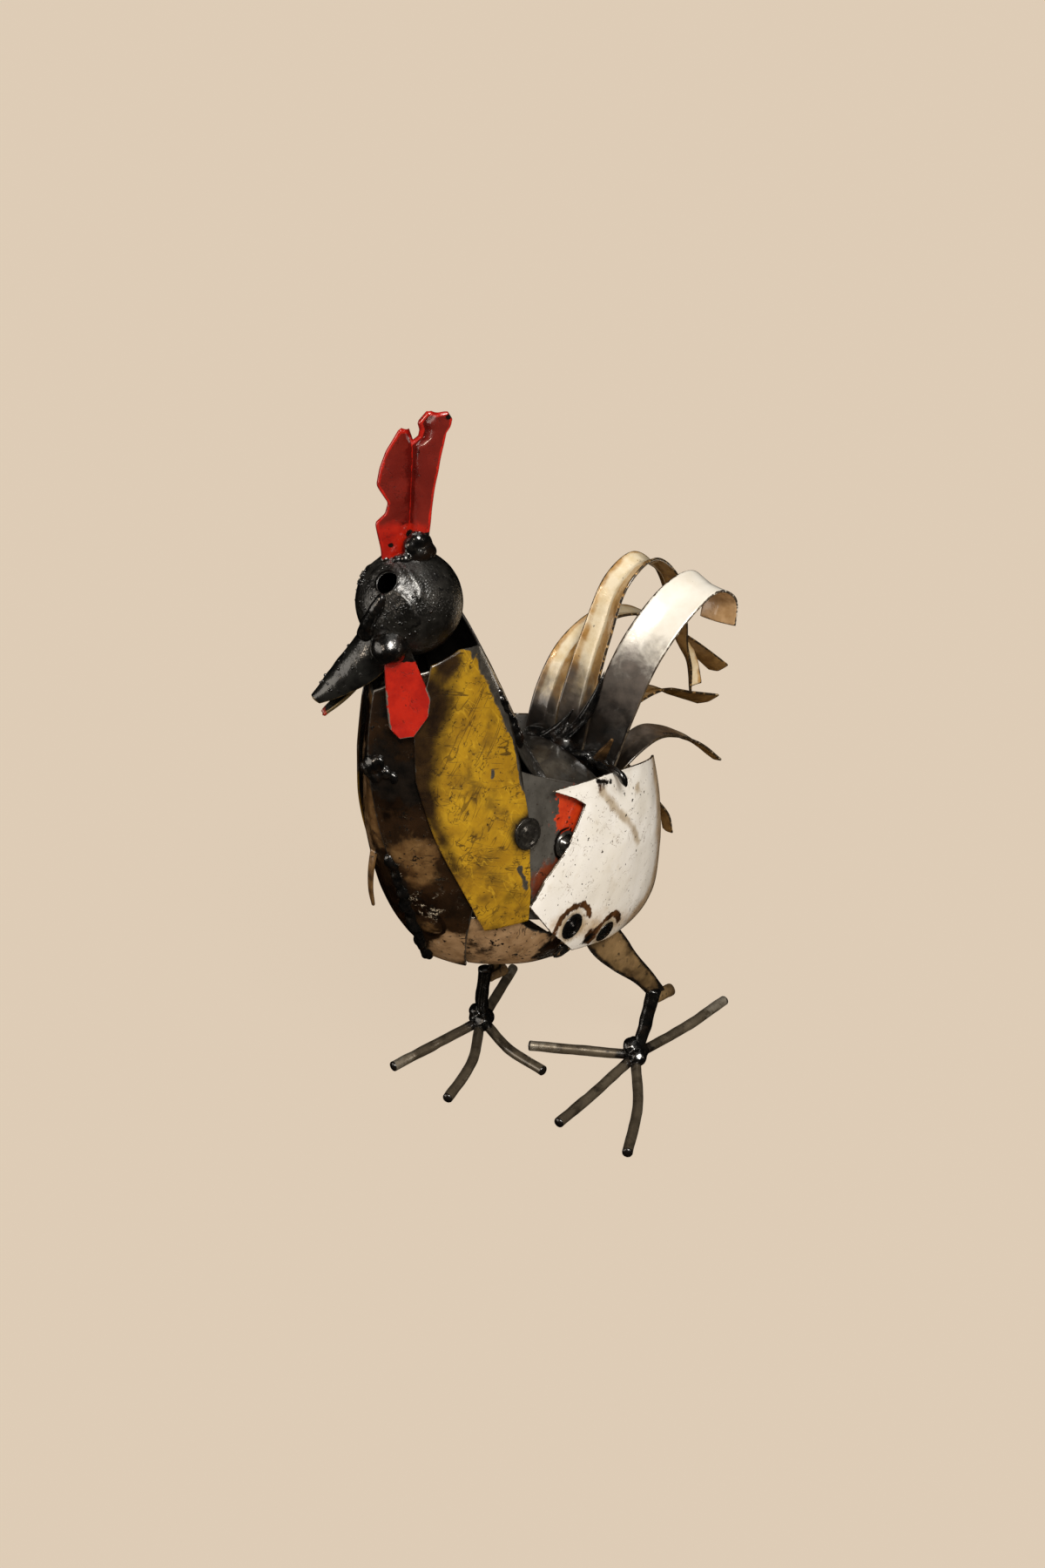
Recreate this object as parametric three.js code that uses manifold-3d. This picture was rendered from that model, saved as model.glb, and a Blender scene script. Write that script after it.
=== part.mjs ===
// A welded scrap-metal rooster: a steel ball for the head, lapped sheet plates for the body,
// curled sheet feathers for the tail, and legs of flat bar and round bar.
// Millimetres. +Z is up, the rooster looks along -Y, and its left side is +X.

import * as THREE from 'three';
import { mergeVertices } from 'three/addons/utils/BufferGeometryUtils.js';
import Module from 'manifold-3d';

const wasm = await Module();
wasm.setup();

// Driving dimensions
const SHEET = 1.2; // body plates and tail feathers
const BEAK_SHEET = 1.4;
const COMB_SHEET = 2.4;
const WATTLE_SHEET = 1.6;
const THIGH_BAR = 2.4; // thickness of the flat bar
const LAP = 0.6; // air between two lapped plates
const GAP = 0.3; // clearance where one piece meets another
const UNDERSIDE = 88; // height of the belly above the ground
const BODY_HEIGHT = 162; // from the belly to the rim of the neck
const BODY_LENGTH = 167; // from the breast to the rump
const BODY_HALF_WIDTH = 42;
const HEAD_RADIUS = 21.5;
const HEAD_WALL = 1.5;
const EYE_RADIUS = 4.2;
const HEAD_YAW = THREE.MathUtils.degToRad(-30); // turned to the rooster's right
const KNOB_RADIUS = 7;
const SHANK_RADIUS = 3.2;
const SPUR_RADIUS = 2.5;
const TOE_RADIUS = 2.5;
const TOE_SIDES = 8;
const TOE_HEIGHT = TOE_RADIUS * Math.cos(Math.PI / TOE_SIDES); // a flat of the bar is on the ground
const FOOT_RADIUS = 6.6; // the weld knot where the toes meet
const FOOT_SPREAD = 70.4; // across the two feet
const STRIDE = 36.6; // how far the right foot stands ahead of the left
const HOCK_HEIGHT = 34;

// Lift of each layer of plates off the body's form, measured at mid-sheet
const PITCH = SHEET + LAP;
const OUTER = PITCH;
const MIDDLE = 0;
const INNER = -PITCH;

const PAINT = {
  yellow: { color: 0xc79a12, roughness: 0.4, metalness: 0.1 },
  white: { color: 0xe9e4da, roughness: 0.3, metalness: 0.1 },
  red: { color: 0xb5200f, roughness: 0.3, metalness: 0.1 },
  orange: { color: 0xc4431c, roughness: 0.4, metalness: 0.1 },
  brown: { color: 0x4a3320, roughness: 0.3, metalness: 0.5 },
  black: { color: 0x1c1c1c, roughness: 0.25, metalness: 0.5 },
  steel: { color: 0x76716a, roughness: 0.4, metalness: 0.8 },
};

const v3 = (x, y, z) => new THREE.Vector3(x, y, z);
const lerp = THREE.MathUtils.lerp;
const clamp = THREE.MathUtils.clamp;

// Smooth curve through a table of [position, value] rows.
function smooth(table, at) {
  const last = table.length - 1;
  const x = clamp(at, table[0][0], table[last][0]);
  let i = 0;
  while (i < last - 1 && x > table[i + 1][0]) {
    i += 1;
  }
  const slope = (k) => {
    const a = table[Math.max(k - 1, 0)];
    const b = table[Math.min(k + 1, last)];
    return (b[1] - a[1]) / (b[0] - a[0]);
  };
  const span = table[i + 1][0] - table[i][0];
  const s = (x - table[i][0]) / span;
  const fromStart = (1 + 2 * s) * (1 - s) ** 2 * table[i][1] + s * (1 - s) ** 2 * span * slope(i);
  const fromEnd = s * s * (3 - 2 * s) * table[i + 1][1] + s * s * (s - 1) * span * slope(i + 1);
  return fromStart + fromEnd;
}

// The form that the plates are beaten to. Each row is a height as a share of BODY_HEIGHT and
// a place as a share of BODY_LENGTH, or a width as a share of BODY_HALF_WIDTH.
const BREAST_LINE = [
  [0, -0.42], [0.06, -0.49], [0.21, -0.58], [0.36, -0.63], [0.52, -0.66], [0.69, -0.665], [0.85, -0.655],
  [1, -0.625], [1.12, -0.59],
];
const FLANK_LINE = [
  [0, -0.215], [0.21, -0.28], [0.36, -0.305], [0.52, -0.335], [0.69, -0.365], [0.85, -0.395], [1, -0.43],
  [1.12, -0.47],
];
const RUMP_LINE = [[0, 0.12], [0.05, 0.235], [0.11, 0.295], [0.21, 0.315], [0.36, 0.315], [0.52, 0.275], [1, 0.275]];
const NAPE_LINE = [[0.38, -0.045], [0.52, -0.12], [0.69, -0.2], [0.85, -0.265], [1, -0.33], [1.12, -0.383]];
const WIDTH_LINE = [
  [0, 0.38], [0.045, 0.74], [0.105, 0.905], [0.21, 1], [0.36, 1], [0.52, 0.88], [0.69, 0.715], [0.85, 0.57],
  [1, 0.45], [1.12, 0.34],
];
const SAG = 0.195; // how fast the lower body drops towards the rump
const SAG_TOP = 0.52; // share of the height where the drop starts
const SAG_FULL = 0.21;

// Point of the form. turn runs round the bird from 0 at the keel by 0.5 at the left flank to
// 1 at the rear, negative on the right. The neck closes behind at the nape, the body at the rump.
function formPoint(turn, share, isNeck) {
  const around = turn - 2 * Math.round(turn / 2);
  const t = Math.abs(around);
  const side = around < 0 ? -1 : 1;
  const front = BODY_LENGTH * smooth(BREAST_LINE, share);
  const flank = BODY_LENGTH * smooth(FLANK_LINE, share);
  const rear = BODY_LENGTH * smooth(isNeck ? NAPE_LINE : RUMP_LINE, share);
  const half = BODY_HALF_WIDTH * smooth(WIDTH_LINE, share);
  const rearPower = isNeck ? 0.8 : 0.62;
  const x = side * half * Math.abs(Math.sin(Math.PI * t)) ** (t < 0.5 ? 0.85 : rearPower);
  const mix = 0.55 * Math.cos(Math.PI * t) + 0.45 * (1 - 2 * t);
  const y = t < 0.5 ? flank - (flank - front) * mix : flank - (rear - flank) * mix;
  const sag = isNeck ? 0 : SAG * clamp((SAG_TOP - share) / (SAG_TOP - SAG_FULL), 0, 1) * (y - front);
  return v3(x, y, UNDERSIDE + BODY_HEIGHT * share - sag);
}

// Outward direction of the form.
function formNormal(turn, share, isNeck) {
  const step = 0.012;
  const round = formPoint(turn + step, share, isNeck).sub(formPoint(turn - step, share, isNeck));
  const rise = formPoint(turn, share + step, isNeck).sub(formPoint(turn, share - step, isNeck));
  return round.cross(rise).normalize();
}

function onForm(turn, share, lift, isNeck = false) {
  return formPoint(turn, share, isNeck).addScaledVector(formNormal(turn, share, isNeck), lift);
}

// Closed geometry with shared corners and its faces pointing out.
function tidy(geometry) {
  let solid = geometry.index ? geometry : geometry.clone();
  solid.deleteAttribute('normal');
  solid.deleteAttribute('uv');
  solid = mergeVertices(solid, 1e-4);
  const at = solid.attributes.position;
  const index = solid.index.array;
  let volume = 0;
  for (let i = 0; i < index.length; i += 3) {
    const [a, b, c] = [0, 1, 2].map((k) => v3().fromBufferAttribute(at, index[i + k]));
    volume += a.dot(b.cross(c));
  }
  if (volume < 0) {
    for (let i = 0; i < index.length; i += 3) {
      [index[i], index[i + 1]] = [index[i + 1], index[i]];
    }
  }
  return solid;
}

function toManifold(geometry) {
  const solid = tidy(geometry);
  const vertProperties = new Float32Array(solid.attributes.position.array);
  const triVerts = new Uint32Array(solid.index.array);
  return new wasm.Manifold(new wasm.Mesh({ numProp: 3, vertProperties, triVerts }));
}

function toGeometry(manifold) {
  const mesh = manifold.getMesh();
  const geometry = new THREE.BufferGeometry();
  geometry.setAttribute('position', new THREE.BufferAttribute(new Float32Array(mesh.vertProperties), 3));
  geometry.setIndex(new THREE.BufferAttribute(new Uint32Array(mesh.triVerts), 1));
  return geometry;
}

// What is left of a piece beside its neighbours: the largest body of what remains.
function trim(geometry, ...cutters) {
  const rest = cutters.reduce((body, cutter) => body.subtract(toManifold(cutter)), toManifold(geometry));
  const bodies = rest.decompose();
  bodies.sort((a, b) => b.volume() - a.volume());
  return toGeometry(bodies[0]);
}

function fuse(first, ...others) {
  return toGeometry(others.reduce((body, other) => body.add(toManifold(other)), toManifold(first)));
}

// Sheet of even thickness about a surface that maps (u, v), each 0 to 1, to { point, normal }.
function sheet(surface, thickness, columns, rows) {
  const geometry = new THREE.BoxGeometry(1, 1, 1, columns, rows, 1);
  const at = geometry.attributes.position;
  for (let i = 0; i < at.count; i += 1) {
    const { point, normal } = surface(at.getX(i) + 0.5, at.getY(i) + 0.5);
    point.addScaledVector(normal, thickness * at.getZ(i));
    at.setXYZ(i, point.x, point.y, point.z);
  }
  return tidy(geometry);
}

// Share s of the way along an outline of [turn, share] or other equal-length rows.
function along(row, s) {
  const place = clamp(s, 0, 1) * (row.length - 1);
  const i = Math.min(Math.floor(place), row.length - 2);
  return row[i].map((value, k) => lerp(value, row[i + 1][k], place - i));
}

// Plate beaten to the form. rows go from its lower edge to its upper edge, and each row runs
// from one side edge to the other as [turn, height share] places.
function plate(rows, lift, { columns = 8, steps = 3, isNeck = false, thickness = SHEET } = {}) {
  const surface = (u, v) => {
    const place = clamp(v, 0, 1) * (rows.length - 1);
    const i = Math.min(Math.floor(place), rows.length - 2);
    const low = along(rows[i], u);
    const high = along(rows[i + 1], u);
    const turn = lerp(low[0], high[0], place - i);
    const share = lerp(low[1], high[1], place - i);
    return { point: onForm(turn, share, lift, isNeck), normal: formNormal(turn, share, isNeck) };
  };
  return sheet(surface, thickness, columns, steps * (rows.length - 1));
}

// The same plate for the rooster's other side.
const mirrored = (rows) => rows.map((row) => row.map(([turn, share]) => [-turn, share]));

// Side plate of the neck, as rows of [turn, height share] from its lower to its upper edge.
const NECK_SIDE = [
  [[0.27, 0.24], [0.34, 0.245], [0.411, 0.245]],
  [[0.234, 0.42], [0.34, 0.42], [0.457, 0.417]],
  [[0.206, 0.55], [0.35, 0.58], [0.537, 0.617]],
  [[0.181, 0.716], [0.4, 0.76], [0.669, 0.833]],
  [[0.2, 0.87], [0.42, 0.89], [0.678, 0.926]],
  [[0.3, 1], [0.47, 1.01], [0.683, 1]],
];

// Flat strip along a curve. widths and twists are tables over the length, crease is how far
// its middle line stands out, and across is the direction of its width before the twist.
function strip(points, { widths, thickness, across = v3(1, 0, 0), twists = [[0, 0], [1, 0]], crease = 0,
  columns = 2, steps = 12 }) {
  const curve = new THREE.CatmullRomCurve3(points, false, 'centripetal');
  const surface = (u, v) => {
    const tangent = curve.getTangentAt(v);
    const normal = tangent.clone().cross(across).normalize();
    const width = normal.clone().cross(tangent).applyAxisAngle(tangent, smooth(twists, v));
    normal.applyAxisAngle(tangent, smooth(twists, v));
    const point = curve.getPointAt(v).addScaledVector(width, (u - 0.5) * smooth(widths, v));
    point.addScaledVector(normal, crease * (1 - Math.abs(2 * u - 1)));
    return { point, normal };
  };
  return sheet(surface, thickness, columns, steps);
}

// Round bar along a curve, cut square at both ends.
function rod(points, radius, { sides = 10, steps = 6 } = {}) {
  const section = new THREE.Shape();
  for (let i = 0; i < sides; i += 1) {
    const angle = ((i + 0.5) * 2 * Math.PI) / sides;
    const corner = [radius * Math.cos(angle), radius * Math.sin(angle)];
    if (i === 0) {
      section.moveTo(...corner);
    } else {
      section.lineTo(...corner);
    }
  }
  section.closePath();
  const extrudePath = new THREE.CatmullRomCurve3(points, false, 'centripetal');
  return tidy(new THREE.ExtrudeGeometry(section, { steps, bevelEnabled: false, extrudePath }));
}

// Rounded lump with a radius along each axis.
function lump(centre, radii, { around = 14, down = 9 } = {}) {
  const ball = new THREE.SphereGeometry(1, around, down).scale(radii.x, radii.y, radii.z);
  return tidy(ball.translate(centre.x, centre.y, centre.z));
}

// Keeps only what is above the ground.
function standOnGround(geometry, size) {
  const below = new THREE.BoxGeometry(size, size, size);
  geometry.computeBoundingBox();
  const centre = geometry.boundingBox.getCenter(v3());
  return trim(geometry, below.translate(centre.x, centre.y, -size / 2));
}

const rooster = new THREE.Group();
const figure = new THREE.Group();
const head = new THREE.Group();
figure.add(head);
rooster.add(figure);

function addPiece(name, geometry, paint, parent = figure) {
  const mesh = new THREE.Mesh(geometry, new THREE.MeshStandardMaterial(paint));
  mesh.name = name;
  parent.add(mesh);
  return mesh;
}

// Head. Its own frame has the ball's centre at the origin and the beak towards -Y.
const NECK_RIM = UNDERSIDE + BODY_HEIGHT;
const HEAD_CENTRE = v3(0, -0.51 * BODY_LENGTH, NECK_RIM + HEAD_RADIUS + 2.5);
head.position.copy(HEAD_CENTRE);
head.rotation.z = HEAD_YAW;

// Place in the head's frame from its distance to the left, forwards and up.
const inHead = (left, forward, up) => v3(left, -forward, up);
const SIDES = { left: 1, right: -1 };
const KNOB_CENTRE = (side) => inHead(side * 17.2, 11.2, -10);

function headBall(radius) {
  return new THREE.SphereGeometry(radius, 24, 16);
}

function eyeHole(side) {
  const along3 = inHead(side * 10.2, 10.9, 15.5).normalize();
  const hole = new THREE.CylinderGeometry(EYE_RADIUS, EYE_RADIUS * 0.8, HEAD_RADIUS, 12);
  hole.applyQuaternion(new THREE.Quaternion().setFromUnitVectors(v3(0, 1, 0), along3));
  const at = along3.multiplyScalar(HEAD_RADIUS);
  return hole.translate(at.x, at.y, at.z);
}

function knob(side, radius) {
  const centre = KNOB_CENTRE(side);
  return lump(centre, v3(radius, radius, radius * 0.95), { around: 10, down: 6 });
}

// Upper beak: a half cone of sheet. s runs down its ridge and the drop is towards the mouth.
const RIDGE_START = [16.5, -8.6]; // forward and up, inside the ball's surface
const BEAK_TIP = [40.6, -38.4];
function upperBeak(thickness) {
  const ridge = v3(0, -(BEAK_TIP[0] - RIDGE_START[0]), BEAK_TIP[1] - RIDGE_START[1]);
  const length = ridge.length();
  const down = ridge.clone().normalize();
  const drop = v3(0, -down.z, down.y);
  const halfWidth = [[0, 10], [0.35, 10.4], [0.75, 6.8], [1, 2.6]];
  const depth = [[0, 12], [0.35, 12], [0.75, 7], [1, 2.8]];
  const surface = (u, v) => {
    const bend = (u - 0.5) * 2;
    const angle = (Math.abs(bend) ** 0.9 * Math.PI) / 2;
    const point = inHead(0, ...RIDGE_START).addScaledVector(down, v * length);
    point.x += Math.sign(bend) * smooth(halfWidth, v) * Math.sin(angle);
    point.addScaledVector(drop, smooth(depth, v) * (1 - Math.cos(angle)));
    const normal = v3(Math.sign(bend) * Math.sin(angle), 0, 0).addScaledVector(drop, -Math.cos(angle));
    return { point, normal: normal.normalize() };
  };
  return sheet(surface, thickness, 6, 4);
}

function lowerBeak(thickness) {
  const points = [inHead(0, 13, -17), inHead(0, 19.5, -29), inHead(0, 27, -38), inHead(0, 37, -46.5)];
  return strip(points, { widths: [[0, 11], [0.5, 9], [1, 3.5]], thickness, crease: -1.2, steps: 6 });
}

// Comb: one plate folded along an upright valley. Rows give the fore and aft edges of the
// front lobe and the rear bar as [forward, up].
const FRONT_LOBE = [
  [[9.6, 17], [-1.5, 17]], [[9.8, 24], [-1.5, 24]], [[11.7, 36], [-2.5, 37]], [[7.6, 39.5], [-2.8, 40]],
  [[6.3, 44.2], [-3, 45]], [[10.5, 52], [-3.6, 53]], [[9, 59], [-4, 59]], [[6.4, 65.5], [-4.2, 64.5]],
  [[1.2, 73.6], [-2.6, 71.4]],
];
const REAR_BAR = [
  [[1.5, 19], [-6, 19]], [[0, 31], [-8.4, 31.4]], [[-0.8, 46], [-10.5, 46.4]], [[-1.6, 59], [-12.8, 59]],
  [[-2.2, 65.4], [-14.6, 66]], [[-7.2, 69], [-16.6, 73]], [[-7.1, 75.6], [-17.4, 78.4]],
];
const COMB_FOLD = 3.6; // how deep the valley is

function combPlate(rows, thickness, foldAtRear, columns) {
  const surface = (u, v) => {
    const place = clamp(v, 0, 1) * (rows.length - 1);
    const i = Math.min(Math.floor(place), rows.length - 2);
    const [fore, aft] = [0, 1].map((k) => rows[i][k].map((c, j) => lerp(c, rows[i + 1][k][j], place - i)));
    const nearFold = foldAtRear ? u : 1 - u;
    const left = -COMB_FOLD * nearFold;
    const point = inHead(left, lerp(fore[0], aft[0], u), lerp(fore[1], aft[1], u));
    const slope = (foldAtRear ? -1 : 1) * (COMB_FOLD / 11);
    return { point, normal: v3(1, slope, 0).normalize() };
  };
  return sheet(surface, thickness, columns, rows.length - 1);
}

function comb(thickness) {
  return fuse(combPlate(FRONT_LOBE, thickness, true, 2), combPlate(REAR_BAR, thickness, false, 2));
}

// Wattle: a six-sided plate that hangs from its cheek knob, leaning out at the bottom.
const WATTLE_ROWS = [
  [[9.6, -48], [4.2, -48]], [[13, -43.8], [-2, -40.6]], [[13.6, -32.6], [-3.4, -33.2]],
  [[13.4, -18.2], [1, -19.8]], [[12.6, -10.6], [4, -10.6]],
];
const WATTLE_TOP_OUT = 17.7;
const WATTLE_FOOT_OUT = { left: 24, right: 33 }; // the neck pushes the right one out
const WATTLE_AHEAD = { left: 0, right: 4 }; // and forwards
function wattle(side, thickness) {
  const sideName = side > 0 ? 'left' : 'right';
  const surface = (u, v) => {
    const place = v * (WATTLE_ROWS.length - 1);
    const i = Math.min(Math.floor(place), WATTLE_ROWS.length - 2);
    const [fore, aft] = [0, 1].map((k) =>
      WATTLE_ROWS[i][k].map((c, j) => lerp(c, WATTLE_ROWS[i + 1][k][j], place - i)));
    const out = lerp(WATTLE_FOOT_OUT[sideName], WATTLE_TOP_OUT, v);
    const forward = lerp(fore[0], aft[0], u) + WATTLE_AHEAD[sideName] * (1 - v);
    const point = inHead(side * out, forward, lerp(fore[1], aft[1], u));
    return { point, normal: v3(side, 0, 0.1).normalize() };
  };
  return sheet(surface, thickness, 1, WATTLE_ROWS.length - 1);
}

function inHeadFrame(geometry) {
  head.updateMatrix();
  return geometry.clone().applyMatrix4(head.matrix.clone().invert());
}

const hollow = fuse(new THREE.SphereGeometry(HEAD_RADIUS - HEAD_WALL, 12, 8), eyeHole(1), eyeHole(-1));
addPiece('head_ball', trim(headBall(HEAD_RADIUS), hollow), PAINT.black, head);
const grownBall = headBall(HEAD_RADIUS + GAP);
for (const [sideName, side] of Object.entries(SIDES)) {
  const grownKnob = knob(side, KNOB_RADIUS + GAP);
  addPiece(`cheek_knob_${sideName}`, trim(knob(side, KNOB_RADIUS), grownBall), PAINT.black, head);
  const neckSide = side > 0 ? NECK_SIDE : mirrored(NECK_SIDE);
  const grownNeck = plate(neckSide, OUTER, { columns: 6, steps: 2, isNeck: true, thickness: SHEET + 2 * GAP });
  addPiece(`wattle_${sideName}`, trim(wattle(side, WATTLE_SHEET), grownKnob, grownBall, inHeadFrame(grownNeck)),
    PAINT.red, head);
}
const grownKnobs = [knob(1, KNOB_RADIUS + GAP), knob(-1, KNOB_RADIUS + GAP)];
addPiece('upper_beak', trim(upperBeak(BEAK_SHEET), grownBall, ...grownKnobs), PAINT.black, head);
addPiece('lower_beak', trim(lowerBeak(BEAK_SHEET), grownBall, upperBeak(BEAK_SHEET + 2 * GAP)), PAINT.black, head);
addPiece('comb', trim(comb(COMB_SHEET), grownBall), PAINT.red, head);
const combWeld = lump(inHead(-1, -4, 21), v3(4.4, 5.6, 7), { around: 8, down: 6 });
addPiece('comb_weld', trim(combWeld, grownBall, comb(COMB_SHEET + 2 * GAP)), PAINT.black, head);

// The head's solids again, in the body's frame, to trim the plates that reach them.
function asPlaced(geometry) {
  head.updateMatrix();
  return geometry.clone().applyMatrix4(head.matrix);
}
const placedBall = asPlaced(grownBall);
const placedLowerBeak = asPlaced(lowerBeak(BEAK_SHEET + 2 * GAP));

// Body plates, each as rows of [turn, height share] from its lower to its upper edge.
const BREAST = [
  [[0, 0.05], [0.07, 0.035], [0.14, 0.04]],
  [[0.05, 0.2], [0.13, 0.2], [0.2, 0.2]],
  [[0.065, 0.38], [0.16, 0.37], [0.27, 0.36]],
  [[0.038, 0.52], [0.14, 0.53], [0.26, 0.53]],
  [[0.006, 0.76], [0.13, 0.76], [0.26, 0.76]],
  [[0.012, 0.95], [0.15, 0.99], [0.3, 1]],
];
const BREAST_RIGHT = [
  [[0.05, 0.075], [-0.05, 0.05], [-0.12, 0.05]],
  [[0.11, 0.24], [0, 0.24], [-0.125, 0.24]],
  [[0.12, 0.38], [-0.1, 0.37], [-0.28, 0.36]],
  [[0.09, 0.52], [-0.1, 0.53], [-0.28, 0.53]],
  [[0.05, 0.76], [-0.1, 0.76], [-0.28, 0.76]],
  [[0.05, 0.93], [-0.1, 0.94], [-0.3, 0.98]],
];
const NAPE_SHARE = [0.545, 0.6, 0.68, 0.75, 0.83, 0.885];
const NAPE_TURN = [0.727, 0.69, 0.652, 0.643, 0.645, 0.635];
const FLANK = [
  [[0.43, 0.27], [0.52, 0.25], [0.62, 0.24]],
  [[0.44, 0.4], [0.55, 0.38], [0.66, 0.37]],
  [[0.45, 0.54], [0.56, 0.515], [0.68, 0.49]],
  [[0.46, 0.7], [0.5, 0.695], [0.535, 0.64]],
];
const RUMP = [
  [[0.545, 0.115], [0.68, 0.075], [0.81, 0.075]],
  [[0.504, 0.214], [0.7, 0.16], [0.88, 0.12]],
  [[0.43, 0.319], [0.68, 0.28], [0.915, 0.23]],
  [[0.558, 0.421], [0.74, 0.39], [0.92, 0.34]],
  [[0.625, 0.495], [0.77, 0.475], [0.925, 0.41]],
  [[0.565, 0.571], [0.71, 0.52], [0.93, 0.45]],
];
const REAR = [
  [[0.84, 0.12], [1, 0.12], [1.16, 0.12]],
  [[0.86, 0.25], [1, 0.25], [1.14, 0.25]],
];

addPiece('breast_plate_left', trim(plate(BREAST, MIDDLE, { columns: 6, steps: 2 }), placedBall, placedLowerBeak), PAINT.brown);
addPiece('breast_plate_right', trim(plate(BREAST_RIGHT, INNER, { columns: 6, steps: 2 }), placedBall, placedLowerBeak),
  PAINT.brown);
addPiece('neck_plate_left', trim(plate(NECK_SIDE, OUTER, { columns: 6, steps: 2, isNeck: true }), placedBall), PAINT.yellow);
addPiece('neck_plate_right', trim(plate(mirrored(NECK_SIDE), OUTER, { columns: 6, steps: 2, isNeck: true }), placedBall),
  PAINT.yellow);
addPiece('flank_plate_left', plate(FLANK, INNER, { columns: 5 }), PAINT.orange);
addPiece('flank_plate_right', plate(mirrored(FLANK), INNER, { columns: 5 }), PAINT.steel);
addPiece('rump_plate_left', plate(RUMP, OUTER, { steps: 2 }), PAINT.white);
addPiece('rump_plate_right', plate(mirrored(RUMP), OUTER, { steps: 2 }), PAINT.white);
const grownRump = plate(RUMP, OUTER, { steps: 2, thickness: SHEET + 2 * GAP });
const grownRumpRight = plate(mirrored(RUMP), OUTER, { steps: 2, thickness: SHEET + 2 * GAP });
addPiece('rear_plate', plate(REAR, INNER, { columns: 6, steps: 2 }), PAINT.steel);

// Back plate: a low saddle between the flanks, from under the nape to the tail's weld.
const BACK_SHARE = 0.475;
const BACK_INSET = 4.5; // from the form in to the saddle's eaves
const BACK_TURNS = [0.53, 0.7];
function backPlate(thickness) {
  const surface = (u, v) => {
    const edge = formPoint(lerp(...BACK_TURNS, v), BACK_SHARE, false);
    const across = 2 * u - 1;
    const crown = lerp(12, 7, v) * (1 - across * across);
    const height = UNDERSIDE + BODY_HEIGHT * BACK_SHARE + crown;
    return { point: v3(across * (edge.x - BACK_INSET), edge.y, height), normal: v3(0, 0, 1) };
  };
  return sheet(surface, thickness, 8, 5);
}
addPiece('back_plate', backPlate(SHEET), PAINT.steel);

// Nape plate: closes the neck behind, tapering up to a tongue that meets the head ball.
function napePlate() {
  const rows = NAPE_SHARE.map((share, i) => {
    const reach = 1 - NAPE_TURN[i];
    const rise = 0.16 * (share - NAPE_SHARE[0]) / (NAPE_SHARE[5] - NAPE_SHARE[0]);
    return [[1 - reach, share], [1 - reach / 2, share + rise / 2], [1, share + rise], [1 + reach / 2, share + rise / 2],
      [1 + reach, share]];
  });
  rows.push([[0.8, 0.99], [0.9, 1.05], [1, 1.1], [1.1, 1.05], [1.2, 0.99]]);
  return plate(rows, MIDDLE, { columns: 8, steps: 1, isNeck: true });
}
addPiece('neck_back_plate', trim(napePlate(), placedBall, backPlate(SHEET + 2 * GAP)), PAINT.steel);

// Belly plate: a trough from the breast to the legs, up to the flanks on both sides.
function bellyPlate(thickness) {
  const [frontTurn, rearTurn] = [0.15, 0.64];
  const topShare = [[0, 0.23], [0.12, 0.28], [0.45, 0.285], [0.58, 0.235], [0.75, 0.2], [1, 0.13]];
  const at = (u, v) => {
    const turn = lerp(frontTurn, rearTurn, v);
    const top = smooth(topShare, v);
    const side = u < 0.5 ? 1 : -1;
    const down = Math.abs(2 * u - 1);
    if (down > 0.34) {
      return onForm(side * turn, top * ((down - 0.34) / 0.66), INNER);
    }
    const corner = onForm(turn, 0, INNER);
    return v3(side * corner.x * (down / 0.34), corner.y, corner.z);
  };
  const surface = (u, v) => {
    const step = 0.02;
    const round = at(Math.min(u + step, 1), v).sub(at(Math.max(u - step, 0), v));
    const rear = at(u, Math.min(v + step, 1)).sub(at(u, Math.max(v - step, 0)));
    return { point: at(u, v), normal: round.cross(rear).normalize() };
  };
  return sheet(surface, thickness, 12, 4);
}
addPiece('belly_plate', bellyPlate(SHEET), PAINT.brown);
const grownBelly = bellyPlate(SHEET + 2 * GAP);

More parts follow.
